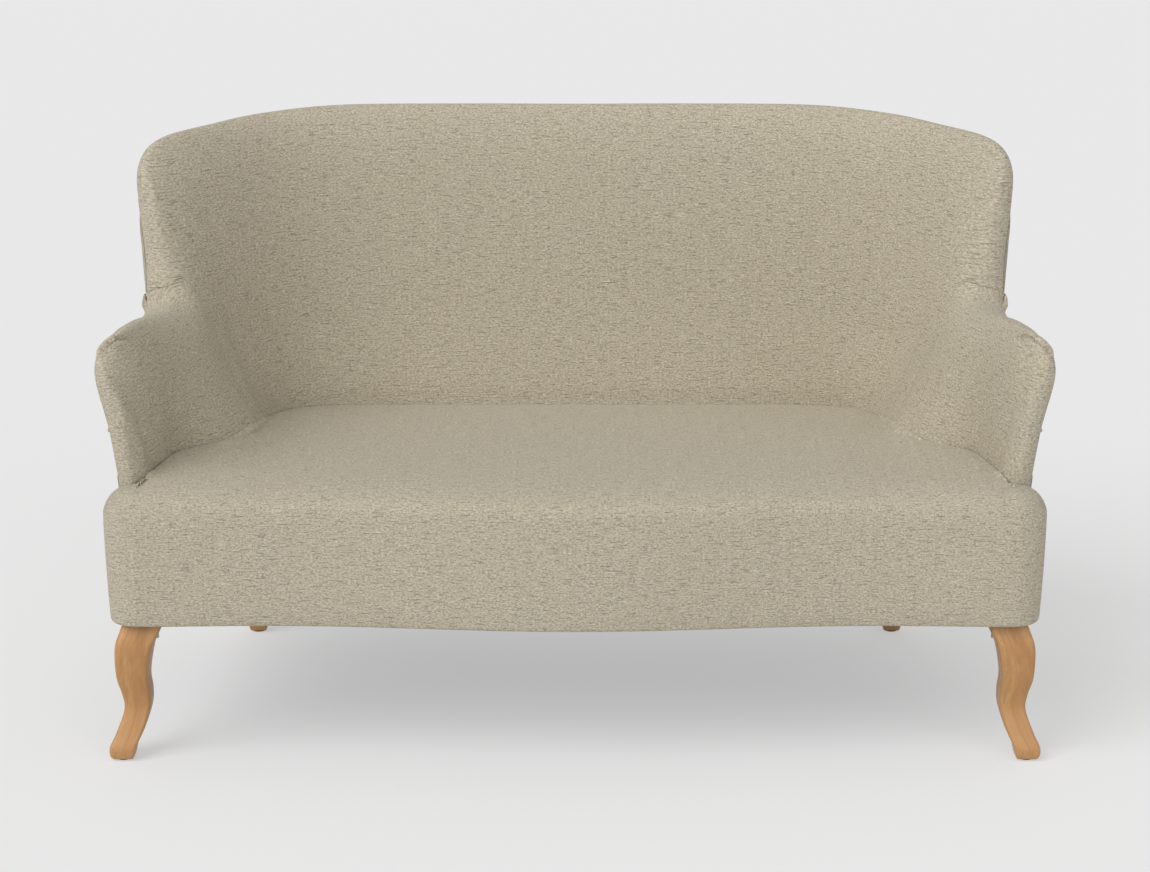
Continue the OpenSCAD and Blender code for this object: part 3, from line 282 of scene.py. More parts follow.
foot_shares = [
    (0.923, 0.020, nose_t / 2, 0.0), (0.921, 0.046, nose_t / 2, 0.0), (0.919, 0.088, nose_t / 2, 0.0),
    (0.912, 0.146, mix(nose_t, arm_t, 0.05) / 2, 0.0), (0.898, 0.247, mix(nose_t, arm_t, 0.22) / 2, 0.0),
    (0.846, 0.357, mix(nose_t, arm_t, 0.78) / 2, 0.2), (0.824, 0.458, arm_t / 2, 0.5),
    (0.821, 0.525, arm_t / 2, 0.7), (0.816, 0.593, arm_t * 0.49, 0.8), (0.808, 0.652, arm_t * 0.46, 0.9),
    (0.794, 0.710, mix(arm_t, back_foot_t, 0.3) / 2, 1.0),
    (0.753, 0.795, mix(arm_t, back_foot_t, 0.6) / 2, 1.0),
    (0.673, 0.867, mix(arm_t, back_foot_t, 0.9) / 2, 1.0), (0.536, 0.896, back_foot_t / 2, 1.0),
    (0.275, 0.901, back_foot_t / 2, 1.0), (0.000, 0.901, back_foot_t / 2, 1.0)]


def rim_z(share):
    return mix(tuck_z, arm_rim_z, share) if share < 1 else mix(arm_rim_z, back_rim_z, share - 1)


def both_sides(rows):
    left = [(-r[0],) + tuple(r[1:]) for r in rows[-2::-1]]
    return np.array(list(rows) + left)


rim_rows = both_sides([(x * half_w, y * arm_d, rim_z(z), t, r) for x, y, z, t, r in rim_shares])
foot_rows = both_sides([(x * half_w, y * arm_d, tuck_z, t, h * back_hollow) for x, y, t, h in foot_shares])
print("rows along the rim", len(rim_rows))

# %% [markdown]
# A smooth curve through the rows gives any place between them. The skins lie half the
# padding's thickness to either side of the middle surface, and a half ellipse joins
# them over the rim. All functions take whole arrays of places at once, which keeps
# thousands of points quick.


# %% Skins of the tub
def along_rows(rows, place):
    place = np.clip(place, 0, len(rows) - 1)
    i = np.minimum(place.astype(int), len(rows) - 2)
    f = (place - i)[:, None]
    a, b, c, d = (rows[np.clip(i + k, 0, len(rows) - 1)] for k in (-1, 0, 1, 2))
    return b + (c - a) * f / 2 + (2 * a - 5 * b + 4 * c - d) * f**2 / 2 + (3 * b - a - 3 * c + d) * f**3 / 2


def ease(share):
    return (1 - np.cos(np.pi * np.clip(share, 0, 1))) / 2


def from_nose(u):
    """The place on the nearer half: 0 at an arm's front edge, middle_u at the middle of the back."""
    return np.minimum(u, 2 * middle_u - u)


def unit(v):
    return v / np.maximum(np.linalg.norm(v, axis=1, keepdims=True), 1e-12)


def middle(u, t):
    foot, rim = along_rows(foot_rows, u), along_rows(rim_rows, u)
    step = sum(along_rows(rows, u + probe) - along_rows(rows, u - probe) for rows in (foot_rows, rim_rows))
    out = unit(np.stack([step[:, 1], -step[:, 0], 0 * u], 1))
    bow = foot[:, 4] * np.sin(np.pi * np.clip(t, 0, 1))
    return mix(foot[:, :3], rim[:, :3], t[:, None]) + out * bow[:, None]


def normal(u, t):
    s = np.maximum(t, 1 - from_nose(u) / 2)
    along = middle(np.minimum(u + probe, 2 * middle_u), s) - middle(np.maximum(u - probe, 0), s)
    return unit(np.cross(along, middle(u, s + probe) - middle(u, s - probe)))


def half_thickness(u, t):
    return mix(along_rows(foot_rows, u)[:, 3], along_rows(rim_rows, u)[:, 3], t)[:, None]


def upright(depth):
    """A depth, or one depth per place, as a column beside the places' coordinates."""
    return np.reshape(depth, (-1, 1))


def inner_skin(u, t, d=0.0):
    return middle(u, t) - normal(u, t) * (half_thickness(u, t) - upright(d))


def outer_skin(u, w, d=0.0):
    t = np.maximum(w, 0)
    n = normal(u, t)
    level = unit(n * np.array([1, 1, 0]))
    out = unit(mix(level, n, ease(t / 0.5)[:, None]))
    p = middle(u, t) + out * (half_thickness(u, t) - upright(d))
    forward = (1 - np.minimum(from_nose(u), 1)) * (1 - np.minimum(t / seam_share, 1))
    p[:, 1] = mix(p[:, 1], nose_front_y, forward)
    p[:, 2] = np.where(w > 0, p[:, 2], mix(tuck_z, hem_z, -w))
    return p


def roll_skin(u, angle, d=0.0):
    rim = along_rows(rim_rows, u)
    n = normal(u, np.ones_like(u))
    tangent = along_rows(rim_rows, u + probe)[:, :3] - along_rows(rim_rows, u - probe)[:, :3]
    out = unit(np.cross(n, tangent))
    a = angle[:, None]
    d = upright(d)
    return rim[:, :3] + out * (rim[:, 4:5] - d) * np.sin(a) - n * (rim[:, 3:4] - d) * np.cos(a)


def inside_skin(u, w):
    """Up the inner face for w 0 to 1, over the roll for 1 to 2 and down to the seam behind for 2 to 3."""
    face = inner_skin(u, np.clip(w, 0, 1))
    roll = roll_skin(u, np.pi * np.clip(w - 1, 0, 1))
    behind = outer_skin(u, mix(1, seam_share, np.clip(w - 2, 0, 1)), 0.004 * np.clip(w - 2, 0, 1) ** 4)
    w = w[:, None]
    return np.where(w <= 1, face, np.where(w <= 2, roll, behind))


crest = inside_skin(np.array([middle_u]), np.array([1.5]))[0]
print("rim height at the middle", round(float(crest[2]), 4))

# %% [markdown]
# The border is a line in plan: back along the settee's side, round a corner of 50 mm
# and forward to the middle in a shallow double curve. Each column of the seat's cover
# starts under the border, climbs it, rolls over at its top and runs back over the seat
# to a place on the arms or back, where it is tucked down.

# %% The seat in plan
border_bow, border_kick, corner_r, side_len, border_roll = 0.028, 0.006, 0.050, 0.062, 0.042
border_taper, seat_side_fall, recess_share = 0.004, 0.010, 0.64
recess_y = nose_front_y - side_len


def front_y(x):
    s = np.abs(x) / half_border / recess_share
    return recess_y - border_bow * ease(1 - s) - border_kick * ease((s - 1) / (1 / recess_share - 1))


corner_x = half_border - corner_r
corner_y = float(front_y(corner_x)) + corner_r


def border_line(s):
    turn = np.pi / 2 * np.clip(s - 1, 0, 1)
    side = np.stack([np.full_like(s, half_border), mix(border_end_y, corner_y, np.clip(s, 0, 1))], 1)
    arc = np.stack([corner_x + corner_r * np.cos(turn), corner_y - corner_r * np.sin(turn)], 1)
    x = corner_x * (3 - s)
    front = np.stack([x, front_y(x)], 1)
    s = s[:, None]
    return np.where(s <= 1, side, np.where(s <= 2, arc, front))


def roll_end(p):
    corner = np.array([corner_x, corner_y])
    in_corner = ((p[:, 0] > corner_x) & (p[:, 1] < corner_y))[:, None]
    plain = np.stack([np.minimum(p[:, 0], half_border - border_roll),
                      np.maximum(p[:, 1], front_y(p[:, 0]) + border_roll)], 1)
    return np.where(in_corner, mix(corner, p, 1 - border_roll / corner_r), plain)


seat_columns = np.array([
    (0, 0), (0.5, 0.35), (1, 0.6), (1.33, 0.75), (1.66, 0.9), (2, 1), (2.03, 2), (2.07, 3.6), (2.11, 4.5),
    (2.14, 5), (2.18, 6), (2.22, 7.5), (2.27, 9.4), (2.32, 11), (2.364, 12), (2.447, 13), (2.56, 13.5),
    (2.7, 14.2), (2.85, 14.6), (3, 15)])
seat_gap, corner_start_x = 0.001, half_border - border_roll - 0.009
edge_heights = np.array([
    (0, 0.428), (1, 0.430), (2, 0.433), (3.2, 0.438), (4.5, 0.440), (6, 0.4415), (7, 0.437), (8, 0.433),
    (9, 0.429), (10, 0.426), (11, 0.424), (15, 0.4235)])


def edge_height(v):
    """How high the puffed edge of the seat stands against the arms and back."""
    return np.interp(v, edge_heights[:, 0], edge_heights[:, 1])


def seat_edge(v, z=tuck_z):
    """Where the seat meets the arms and back at a height, in plan."""
    u = np.where(v < 2, 2 * np.maximum(v - 1, 0), v)
    share = np.clip((z - tuck_z) / np.maximum(along_rows(rim_rows, u)[:, 2] - tuck_z, 0.1), 0, 1)
    foot = inner_skin(u, share, -seat_gap)
    before_x = mix(corner_start_x, foot[:, 0], np.minimum(v, 1))
    before_nose = np.stack([before_x, np.full_like(v, border_end_y)], 1)
    return np.where((v > 1)[:, None], foot[:, :2], before_nose)


# %% [markdown]
# One column of the cover runs under the hem, up the border, over the roll and back over
# the seat, and ends in the tuck. Small radii at the hem and at the tuck keep it soft.

# %% A column of the seat's cover
hem_r, hem_under, edge_r, tuck_down = 0.006, 0.026, 0.007, 0.026


def seat_point(s, v, w, d):
    """Under the hem for w 0 to 1, up the border to 2, over the roll to 3, back to 4, tucked down to 5."""
    high = edge_height(v)
    p, edge = border_line(s), seat_edge(v, mix(high - edge_r / 2, tuck_z, np.clip(w - 4, 0, 1)))
    target = roll_end(p)
    inward = unit(target - p)
    top = seat_h - seat_side_fall - border_roll
    roll_top = seat_h - seat_side_fall * (np.abs(target[:, 0]) / half_border) ** 3

    under = np.clip(1 - w / 0.6, 0, 1)
    round_hem = np.pi / 2 * np.clip((w - 0.6) / 0.4, 0, 1)
    climb = np.clip(w - 1, 0, 1)
    rise = climb * (roll_top - border_roll - hem_z - hem_r - d)
    face_z = hem_z + d + hem_r * (1 - np.cos(round_hem)) + rise
    drawn_in = border_taper * np.clip((top - face_z) / (top - hem_z), 0, 1) ** 1.6
    face_in = d + drawn_in + hem_r * (1 - np.sin(round_hem)) + hem_under * under
    face = np.column_stack([p + inward * face_in[:, None], face_z])

    angle = np.pi / 2 * np.clip(w - 2, 0, 1)
    start = p + inward * upright(d)
    roll = np.column_stack([mix(start, target, (1 - np.cos(angle))[:, None]),
                            roll_top - d - (border_roll - d) * (1 - np.sin(angle))])

    length = np.maximum(np.linalg.norm(edge - target, axis=1), 1e-4)
    r = np.minimum(edge_r, 0.7 * length)
    bend = np.pi / 2 * np.clip((w - 4) / 0.5, 0, 1)
    share = np.clip(w - 3, 0, 1) * (1 - r / length) + np.sin(bend) * r / length
    q = mix(target, edge, share[:, None])
    deck_z = mix(roll_top, high, np.clip(share, 0, 1)) - d
    down = r * (1 - np.cos(bend)) + tuck_down * np.clip((w - 4.5) / 0.5, 0, 1)
    deck = np.column_stack([q, deck_z - down])
    w = w[:, None]
    return np.where(w <= 2, face, np.where(w <= 3, roll, deck))


front_column = seat_point(np.full(3, 3.0), np.full(3, middle_u), np.array([1.0, 3.0, 4.0]), np.zeros(3))
print("middle column of the seat", front_column.round(3).tolist())

# %% [markdown]
# The CAD model's origin lies in the middle of the plan, and the tables start at the
# arms' front edges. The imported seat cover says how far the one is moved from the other.

# %% From the tables to the frame
plan_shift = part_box("seat_cover")[0][1] - float(front_y(0.0))
print("tables move by", round(plan_shift, 4), "in Y")

# %% [markdown]
# Every cover starts as a flat grid with a column for each place along the piece and a
# row for each place up it. Its vertices are then laid on the surface, as an upholsterer
# lays cut cloth over the padding. The grid also gets its flat coordinates in metres, so
# the weave keeps its size. A modelled box could be sculpted instead, but the grid keeps
# rows and columns that the seams, pins and pleats can name.


# %% Laying a sheet over the padding
def flat_lengths(points):
    """Lengths along the columns and rows of a grid of points."""
    across = np.zeros(points.shape[:2])
    up = np.zeros(points.shape[:2])
    across[1:] = np.cumsum(np.linalg.norm(np.diff(points, axis=0), axis=2), axis=0)
    up[:, 1:] = np.cumsum(np.linalg.norm(np.diff(points, axis=1), axis=2), axis=1)
    across -= across[len(across) // 2]
    return across, up


grid_places = {}


def lay_sheet(name, points, outward, flat, held=None):
    """A sheet over a grid of points: outward is a point that its outside faces, near its middle."""
    cols, rows = points.shape[:2]
    sheet = bmesh.new()
    bmesh.ops.create_grid(sheet, x_segments=cols - 1, y_segments=rows - 1, size=0.5)
    across, up = flat
    cut = sheet.loops.layers.uv.new("cut")
    index = {}
    for vert in sheet.verts:
        c, r = round((vert.co.x + 0.5) * (cols - 1)), round((vert.co.y + 0.5) * (rows - 1))
        index[vert.index] = (c, r)
        vert.co = points[c, r]
    for face in sheet.faces:
        face.smooth = True
        for loop in face.loops:
            c, r = index[loop.vert.index]
            loop[cut].uv = (across[c, r], up[c, r])
    sheet.normal_update()
    probed = Vector(points[cols // 2, rows // 3])
    centre = min(sheet.faces, key=lambda f: (f.calc_center_median() - probed).length)
    if centre.normal.dot(Vector(outward) - centre.calc_center_median()) < 0:
        bmesh.ops.reverse_faces(sheet, faces=sheet.faces[:])
    piece = as_piece(name, sheet)
    grid_places[name] = np.array([index[i] for i in range(len(index))])
    if held is not None:
        stitched = piece.vertex_groups.new(name="stitched")
        stitched.add([i for i, (c, r) in index.items() if held[c, r]], 1.0, "REPLACE")
    return piece


def as_piece(name, mesh):
    data = bpy.data.meshes.new(name)
    mesh.to_mesh(data)
    mesh.free()
    piece = bpy.data.objects.new(name, data)
    bpy.context.scene.collection.objects.link(piece)
    return piece


def even_places(first, last, count, lengths_at):
    """Places from first to last, an even length apart on the line that lengths_at gives."""
    fine = np.linspace(first, last, 600)
    walked = np.concatenate([[0], np.cumsum(np.linalg.norm(np.diff(lengths_at(fine), axis=0), axis=1))])
    return np.interp(np.linspace(0, walked[-1], count), walked, fine)


def grid_of(columns, rows, place):
    u, w = np.meshgrid(columns, rows, indexing="ij")
    points = place(u.ravel(), w.ravel()) + np.array([0, plan_shift, 0])
    return points.reshape(len(columns), len(rows), 3)


# %% [markdown]
# The whole inside of the tub is first laid as one surface from the right nose to the left
# one. The table's inner edge of the rim is too crisp for a padded settee, so the grid is
# relaxed there: each point moves towards the middle of its neighbours, which is what wadding
# does to an edge. The crest of the rim and the tuck beside the seat stay where they are.

# %% The inside of the tub
section_rows = np.concatenate([np.linspace(0, 1, 40), np.linspace(1, 2, 27)[1:], np.linspace(2, 3, 6)[1:]])
arm_places, wing_places = 150, 118


def half_way(u):
    return (middle(u, np.full_like(u, 0.4)) + middle(u, np.ones_like(u))) / 2


def half_places(turn_u, before, beyond, line):
    """Even places on the right half's line, so many before the turn and so many beyond it."""
    first, rest = even_places(0, turn_u, before, line), even_places(turn_u, middle_u, beyond, line)
    return np.concatenate([first, rest[1:]])


half_u = half_places(wing_u, arm_places, wing_places, half_way)
tub_u = np.concatenate([half_u, (2 * middle_u - half_u)[-2::-1]])


def both_halves(points):
    """A grid over the right half, with its mirror image on the left."""
    return np.concatenate([points, points[-2::-1] * np.array([-1, 1, 1])])


def relax(points, share, rounds):
    points = points.copy()
    for _ in range(rounds):
        mean = (points[2:, 1:-1] + points[:-2, 1:-1] + points[1:-1, 2:] + points[1:-1, :-2]) / 4
        points[1:-1, 1:-1] += share[1:-1, 1:-1, None] * (mean - points[1:-1, 1:-1])
    return points


tub = both_halves(grid_of(half_u, section_rows, inside_skin))
soft_rows = ease((section_rows - 0.3) / 0.35) * (1 - ease((section_rows - 1.12) / 0.36))
tub_soft = relax(tub, np.tile(soft_rows, (len(tub), 1)), 170)
print("rim eased by up to", round(float(np.linalg.norm(tub_soft - tub, axis=2).max()) * 1000, 1), "mm")

# %% [markdown]
# Cloth is woven straight, so its pattern must be laid out before it is bent. For each
# point the wanted direction of the weft is known: level on faces that stand, and along the
# rim on top of the arms and the back. The flat coordinates whose steps agree best with
# these directions follow from a least squares fit, found by conjugate gradients. Unwrapping
# would also flatten the sheet, but it would let the weft run askew on the arms.


# %% Laying out the weave
def outward_of(points):
    """Unit normals of a grid, to the outside of the padding."""
    out = np.cross(np.gradient(points, axis=0), np.gradient(points, axis=1))
    out /= np.linalg.norm(out, axis=2, keepdims=True)
    return out * np.sign(-out[len(points) // 2, 20, 1])


def weave_plan(points, on_top, trust=None, rounds=500):
    """Flat coordinates in metres of a grid: on_top is 1 for columns that end in a level rim."""
    along = np.gradient(points, axis=0)
    out = outward_of(points)
    level = np.cross(out, [0, 0, 1])
    level /= np.maximum(np.linalg.norm(level, axis=2, keepdims=True), 1e-6)
    along /= np.linalg.norm(along, axis=2, keepdims=True)
    flatness = ease((np.abs(out[:, :, 2]) - 0.55) / 0.3)
    behind = ease((section_rows - 1.35) / 0.3)[None, :]
    share = (np.maximum(flatness, behind) * on_top[:, None])[:, :, None]
    weft = mix(level, along, share)
    weft -= out * np.sum(weft * out, axis=2, keepdims=True)
    weft /= np.maximum(np.linalg.norm(weft, axis=2, keepdims=True), 1e-6)
    warp = np.cross(out, weft)
    weight = np.ones(points.shape[:2]) if trust is None else trust

    def steps(field, axis):
        return np.diff(field, axis=axis)

    def middle_of(field, axis):
        a, b = (np.take(field, range(s, field.shape[axis] - 1 + s), axis=axis) for s in (0, 1))
        return (a + b) / 2

    def spread_back(flow, axis):
        pad = [(0, 0), (0, 0)]
        pad[axis] = (1, 1)
        return -np.diff(np.pad(flow, pad), axis=axis)

    weights = [middle_of(weight, axis) for axis in (0, 1)]
    flat = []
    for direction in (weft, warp):
        goals = [np.sum(steps(points, axis) * middle_of(direction, axis), axis=2) for axis in (0, 1)]
        right = sum(spread_back(w * g, axis) for axis, (w, g) in enumerate(zip(weights, goals)))
        value = np.zeros(points.shape[:2])
        rest = right.copy()
        way = rest.copy()
        size = np.sum(rest * rest)
        for _ in range(rounds):
            pull = sum(spread_back(w * steps(way, axis), axis) for axis, w in enumerate(weights))
            step = size / np.sum(way * pull)
            value += step * way
            rest -= step * pull
            new_size = np.sum(rest * rest)
            if new_size < 1e-16:
                break
            way = rest + way * new_size / size
            size = new_size
        flat.append(value)
    return flat


print("weave plan ready")

# %% [markdown]
# At the tip of each arm three faces meet, and the cloth can't lie flat on all of them. The
# upholsterer folds the surplus into a short pleat under the arm's top edge. Here the grid
# is drawn in along the pleat's line, and the cloth above it stands out as a soft lip.

# %% The pleat at the arm's tip
pleat_line = np.array([
    (-0.7165, -0.2600, 0.6250), (-0.7110, -0.2620, 0.6335), (-0.7075, -0.2590, 0.6375),
    (-0.7020, -0.2560, 0.6415), (-0.6930, -0.2505, 0.6445), (-0.6850, -0.2405, 0.6435),
    (-0.6780, -0.2285, 0.6400), (-0.6710, -0.2110, 0.6375)])
lip_off, lip_width, lip_edge, lip_side = 0.008, 0.006, 0.0015, np.array([0, 0.6, 0.8])


def pleat(points, side, depth=0.0150, width=0.0026, lip=0.0045, snap=0.0045):
    """Draws the cloth in along the pleat and lets the cloth above it stand out as a lip."""
    line = pleat_line * np.array([-side, 1, 1])
    steps = 90
    place = np.linspace(0, len(line) - 1, steps)
    fine = np.column_stack([np.interp(place, range(len(line)), line[:, k]) for k in range(3)])
    out = outward_of(points)
    points = points.copy()
    gap = np.linalg.norm(points[:, :, None] - fine, axis=3)
    nearest = gap.min(2).argmin(1)
    for c, r in enumerate(nearest):
        if gap[c, r].min() < snap:
            points[c, r] = fine[gap[c, r].argmin()]
    gap = np.linalg.norm(points[:, :, None] - fine, axis=3)
    near = gap.argmin(2)
    gap = gap.min(2)
    fade = 1 - (near / (steps - 1)) ** 3
    above = (points - fine[near]) @ lip_side
    raised = lip * np.exp(-((gap - lip_off) / lip_width) ** 2) / (1 + np.exp(-above / lip_edge))
    move = (raised - depth * np.exp(-(gap / width) ** 2)) * fade
    return points + out * move[:, :, None], gap < lip_width


pleat_length = np.linalg.norm(np.diff(pleat_line, axis=0), axis=1).sum()
print("pleat is", round(float(pleat_length) * 1000), "mm long")

# %% [markdown]
# The inside arm covers run from the front edge, over the arm's roll, to the seam at the
# wing. The inside back is one wide piece with the wings on it. All three are cut from the
# one surface, and keep a hair's breadth between them at the seams.

# %% Inside arms and inside back
seam = arm_places - 1
hair = 0.00005
arm_turn, back_turn = (2.3, 1.0, 2.5, 0.5, 1.2), (9.6, 1.2, 10, 1.2, 1.55)


def rim_of(shape, cols, low, high):
    """Marks the outer columns and rows of a grid, where the cloth is stitched or tucked."""
    held = np.ones(shape, bool)
    held[cols:shape[0] - cols, low:shape[1] - high] = False
    return held


def parted(grid, first, last):
    """Some columns of a grid, a hair's breadth short of the next piece at each seam."""
    points = grid[first:last + 1].copy()
    if first:
        points[0] += hair * unit(points[1] - points[0])
    if last < len(grid) - 1:
        points[-1] += hair * unit(points[-2] - points[-1])
    return points


def cut_piece(name, first, last, outward, shift):
    points = parted(tub_soft, first, last)
    u = tub_u[first:last + 1]
    near = from_nose(u)
    is_arm = near.max() < wing_u + 0.1
    # Where the rim turns from upright to level, how far the turn spreads, and from which row
    start, reach, turn_u, spread_u, turn_row = arm_turn if is_arm else back_turn
    on_top = ease((near - start) / reach)
    turning = np.exp(-((near - turn_u) / spread_u) ** 2)
    loose = turning[:, None] * ease((section_rows - turn_row) / 0.3)[None, :]
    across, up = weave_plan(points, on_top, 1.0 - 0.97 * loose)
    held = rim_of(points.shape[:2], 1, 3, 3)
    if is_arm:
        points, folded = pleat(points, 1 if u[0] < 1 else -1)
        held |= folded
    return lay_sheet(name, points, outward, (across + shift, up + shift), held)


last = len(tub_u) - 1
right_arm = cut_piece("right_inside_arm", 0, seam, (0, -0.2, 0.6), 1.7)
inside_back = cut_piece("inside_back", seam, last - seam, (0, -1.0, 0.8), 0.0)
left_arm = cut_piece("left_inside_arm", last - seam, last, (0, -0.2, 0.6), 4.3)
for piece in (right_arm, inside_back, left_arm):
    print(piece.name, "cloth", round(sum(f.area for f in piece.data.polygons), 3), "m2")

# %% [markdown]
# The seat and its border are one cover. At the two ends behind the border's corners the
# cloth is folded in, so the first columns repeat the end, drawn in by a few millimetres.

# %% Seat and border
half_count = 112


def column_at(place):
    """A column's place along the border, and its place along the tub."""
    return [np.interp(place, range(len(seat_columns)), seat_columns[:, k]) for k in (0, 1)]


column_place = np.linspace(0, len(seat_columns) - 1, 4000)
column_s, column_v = column_at(column_place)
lines = border_line(column_s), seat_edge(column_v)
walks = [np.linalg.norm(np.diff(line, axis=0), axis=1) for line in lines]
walked = np.concatenate([[0], np.cumsum(sum(walks))])
pick_s, pick_v = column_at(np.interp(np.linspace(0, walked[-1], half_count), walked, column_place))
fold_in = np.array([0.020, 0.012, 0.005, 0.0015])
half_s = np.concatenate([np.zeros(len(fold_in)), pick_s])
half_v = np.concatenate([np.zeros(len(fold_in)), pick_v])
half_d = np.concatenate([fold_in, np.zeros(half_count)])
seat_rows = np.concatenate([
    [0, 0.3, 0.6, 0.7, 0.8, 0.9], np.linspace(1, 2, 22), np.linspace(2, 3, 12)[1:],
    np.linspace(3, 4, 46)[1:], np.linspace(4, 4.5, 5)[1:], np.linspace(4.5, 5, 4)[1:]])


def seat_grid():
    cols, rows = len(half_s), len(seat_rows)
    args = [np.repeat(a, rows) for a in (half_s, half_v)]
    points = seat_point(*args, np.tile(seat_rows, cols), np.repeat(half_d, rows))
    return both_halves((points + np.array([0, plan_shift, 0])).reshape(cols, rows, 3))


def seat_flat(points):
    """Flat coordinates: along the border's line on the border, and straight on the seat."""
    across, up = flat_lengths(points)
    rolled = np.searchsorted(seat_rows, 3.0)
    level = ease((seat_rows - 2.0) / 1.4)[None, :]
    line = across[:, np.searchsorted(seat_rows, 1.5)][:, None]
    middle_column = len(points) // 2
    straight_x = points[:, :, 0] * np.sign(line[0, 0] * points[0, 0, 0])
    start = up[middle_column, rolled]
    straight_y = start + points[:, :, 1] - plan_shift - front_y(points[:, :, 0]) - border_roll
    return mix(line, straight_x, level), mix(up, straight_y, level)


roll_rows = ease((seat_rows - 2.25) / 0.5) * (1 - ease((seat_rows - 3.12) / 0.4))
past_corner = ease((half_s - 2.02) / 0.3)
past_corner = np.concatenate([past_corner, past_corner[-2::-1]])
seat_points = relax(seat_grid(), past_corner[:, None] * roll_rows[None, :], 60)
seat = lay_sheet("seat_and_border", seat_points, (0, -0.5, 2.0), seat_flat(seat_points),
                 rim_of(seat_points.shape[:2], 5, 7, 5))
print("seat grid", seat_points.shape[:2])

# %% [markdown]
# The outside covers hang from just under the rims down to the rails, and are turned
# under there. The top edge lies behind the inside cover's fold, as a blind stitched
# seam does. Pulled taut, the cloth eases over the bends below it, but it may sink by no
# more than a millimetre there, because the frame stands right behind it.


# %% Outside covers
outside_t, behind_fold, turn_r, turned_under, may_sink = 0.0025, 0.012, 0.005, 0.018, 0.001


def outside_skin(u, w):
    """From the seam for w 0 down to the hem for 1, and turned under for 1 to 2."""
    top = outside_top_share + behind_fold - nose_seam_share * (1 - np.minimum(from_nose(u), 1))
    turn = np.pi / 2 * np.clip((w - 1) / 0.5, 0, 1)
    under = np.clip((w - 1.5) / 0.5, 0, 1)
    stop = -1 + turn_r / (tuck_z - hem_z)
    level = mix(top, stop, np.clip(w, 0, 1))
    tucked = outside_t * np.clip(1 - w / 0.03, 0, 1)
    p = outer_skin(u, level, tucked + turn_r * (1 - np.cos(turn)) + turned_under * under)
    p[:, 2] -= turn_r * np.sin(turn) * (w > 1)
    return p


outside_rows = np.concatenate([
    [0, 0.012, 0.025], np.linspace(0.04, 1, 46), np.linspace(1, 1.5, 5)[1:], [1.75, 2]])
side_places, rear_places = 116, 62


def outer_line(u):
    return outer_skin(u, np.full_like(u, 0.4))


half_u = half_places(corner_u, side_places, rear_places, outer_line)
outside = both_halves(grid_of(half_u, outside_rows, outside_skin))
taut_rows = ease((outside_rows - 0.05) / 0.1) * (1 - ease((outside_rows - 0.85) / 0.1))
taut = relax(outside, np.tile(taut_rows, (len(outside), 1)), 80)
away = -outward_of(outside)
sunk = np.minimum(np.sum((taut - outside) * away, axis=2) + may_sink, 0)
outside = taut - away * sunk[:, :, None]


def outside_cover(name, first, last, outward):
    points = parted(outside, first, last)
    across, up = flat_lengths(points)
    return lay_sheet(name, points, outward, (across + outward[0], -up))


rear_seam, last = side_places - 1, len(outside) - 1
right_outside = outside_cover("right_outside_arm", 0, rear_seam, (3.0, 0, 0.4))
outside_back = outside_cover("outside_back", rear_seam, last - rear_seam, (0, 3.0, 0.5))
left_outside = outside_cover("left_outside_arm", last - rear_seam, last, (-3.0, 0, 0.4))
print("outside covers", [len(p.data.polygons) for p in (right_outside, left_outside, outside_back)])

# %% [markdown]
# Padding pushes its cover out between the lines where it is stitched or tucked. The
# cloth solver does just that: the edges are pinned and a light pressure blows the sheet
# up for twenty frames. Its raw result is lumpy, and stuffing is not. So only the movement
# outwards is kept, levelled over the grid, made alike left and right, and capped at a few
# millimetres. Without it the covers would look carved from one block.


# %% Swelling the covers
twins = {"right_inside_arm": "left_inside_arm", "left_inside_arm": "right_inside_arm"}


def blow(pieces, frames):
    """Runs the cloth solver and returns each piece's movement outwards, on its grid."""
    scene = bpy.context.scene
    for piece in pieces:
        cloth = piece.modifiers.new("swell", "CLOTH")
        cloth.settings.quality = 4
        cloth.settings.mass = 0.4
        cloth.settings.tension_stiffness = 25
        cloth.settings.compression_stiffness = 25
        cloth.settings.shear_stiffness = 12
        cloth.settings.bending_stiffness = 2.0
        cloth.settings.air_damping = 2
        cloth.settings.use_pressure = True
        cloth.settings.uniform_pressure_force = 2.0
        cloth.settings.vertex_group_mass = "stitched"
        cloth.settings.effector_weights.gravity = 0
        cloth.point_cache.frame_start, cloth.point_cache.frame_end = 1, frames
    for step in range(1, frames + 1):
        scene.frame_set(step)
    graph = bpy.context.evaluated_depsgraph_get()
    fields = {}
    for piece in pieces:
        blown = piece.evaluated_get(graph).data
        moved = np.array([b.co - v.co for b, v in zip(blown.vertices, piece.data.vertices)])
        normals = np.array([v.normal for v in piece.data.vertices])
        c, r = grid_places[piece.name].T
        fields[piece.name] = np.zeros((c.max() + 1, r.max() + 1))
        fields[piece.name][c, r] = np.maximum(np.sum(moved * normals, axis=1), 0)
        piece.modifiers.remove(piece.modifiers["swell"])
    scene.frame_set(1)
    return fields


def eased(field, free, rounds=90):
    """Levels the swelling over its neighbours, and keeps it at nothing where the cloth is stitched."""
    field = field * free
    for _ in range(rounds):
        field[1:-1, 1:-1] = (field[2:, 1:-1] + field[:-2, 1:-1] + field[1:-1, 2:] + field[1:-1, :-2]) / 4
        field *= free
    return field


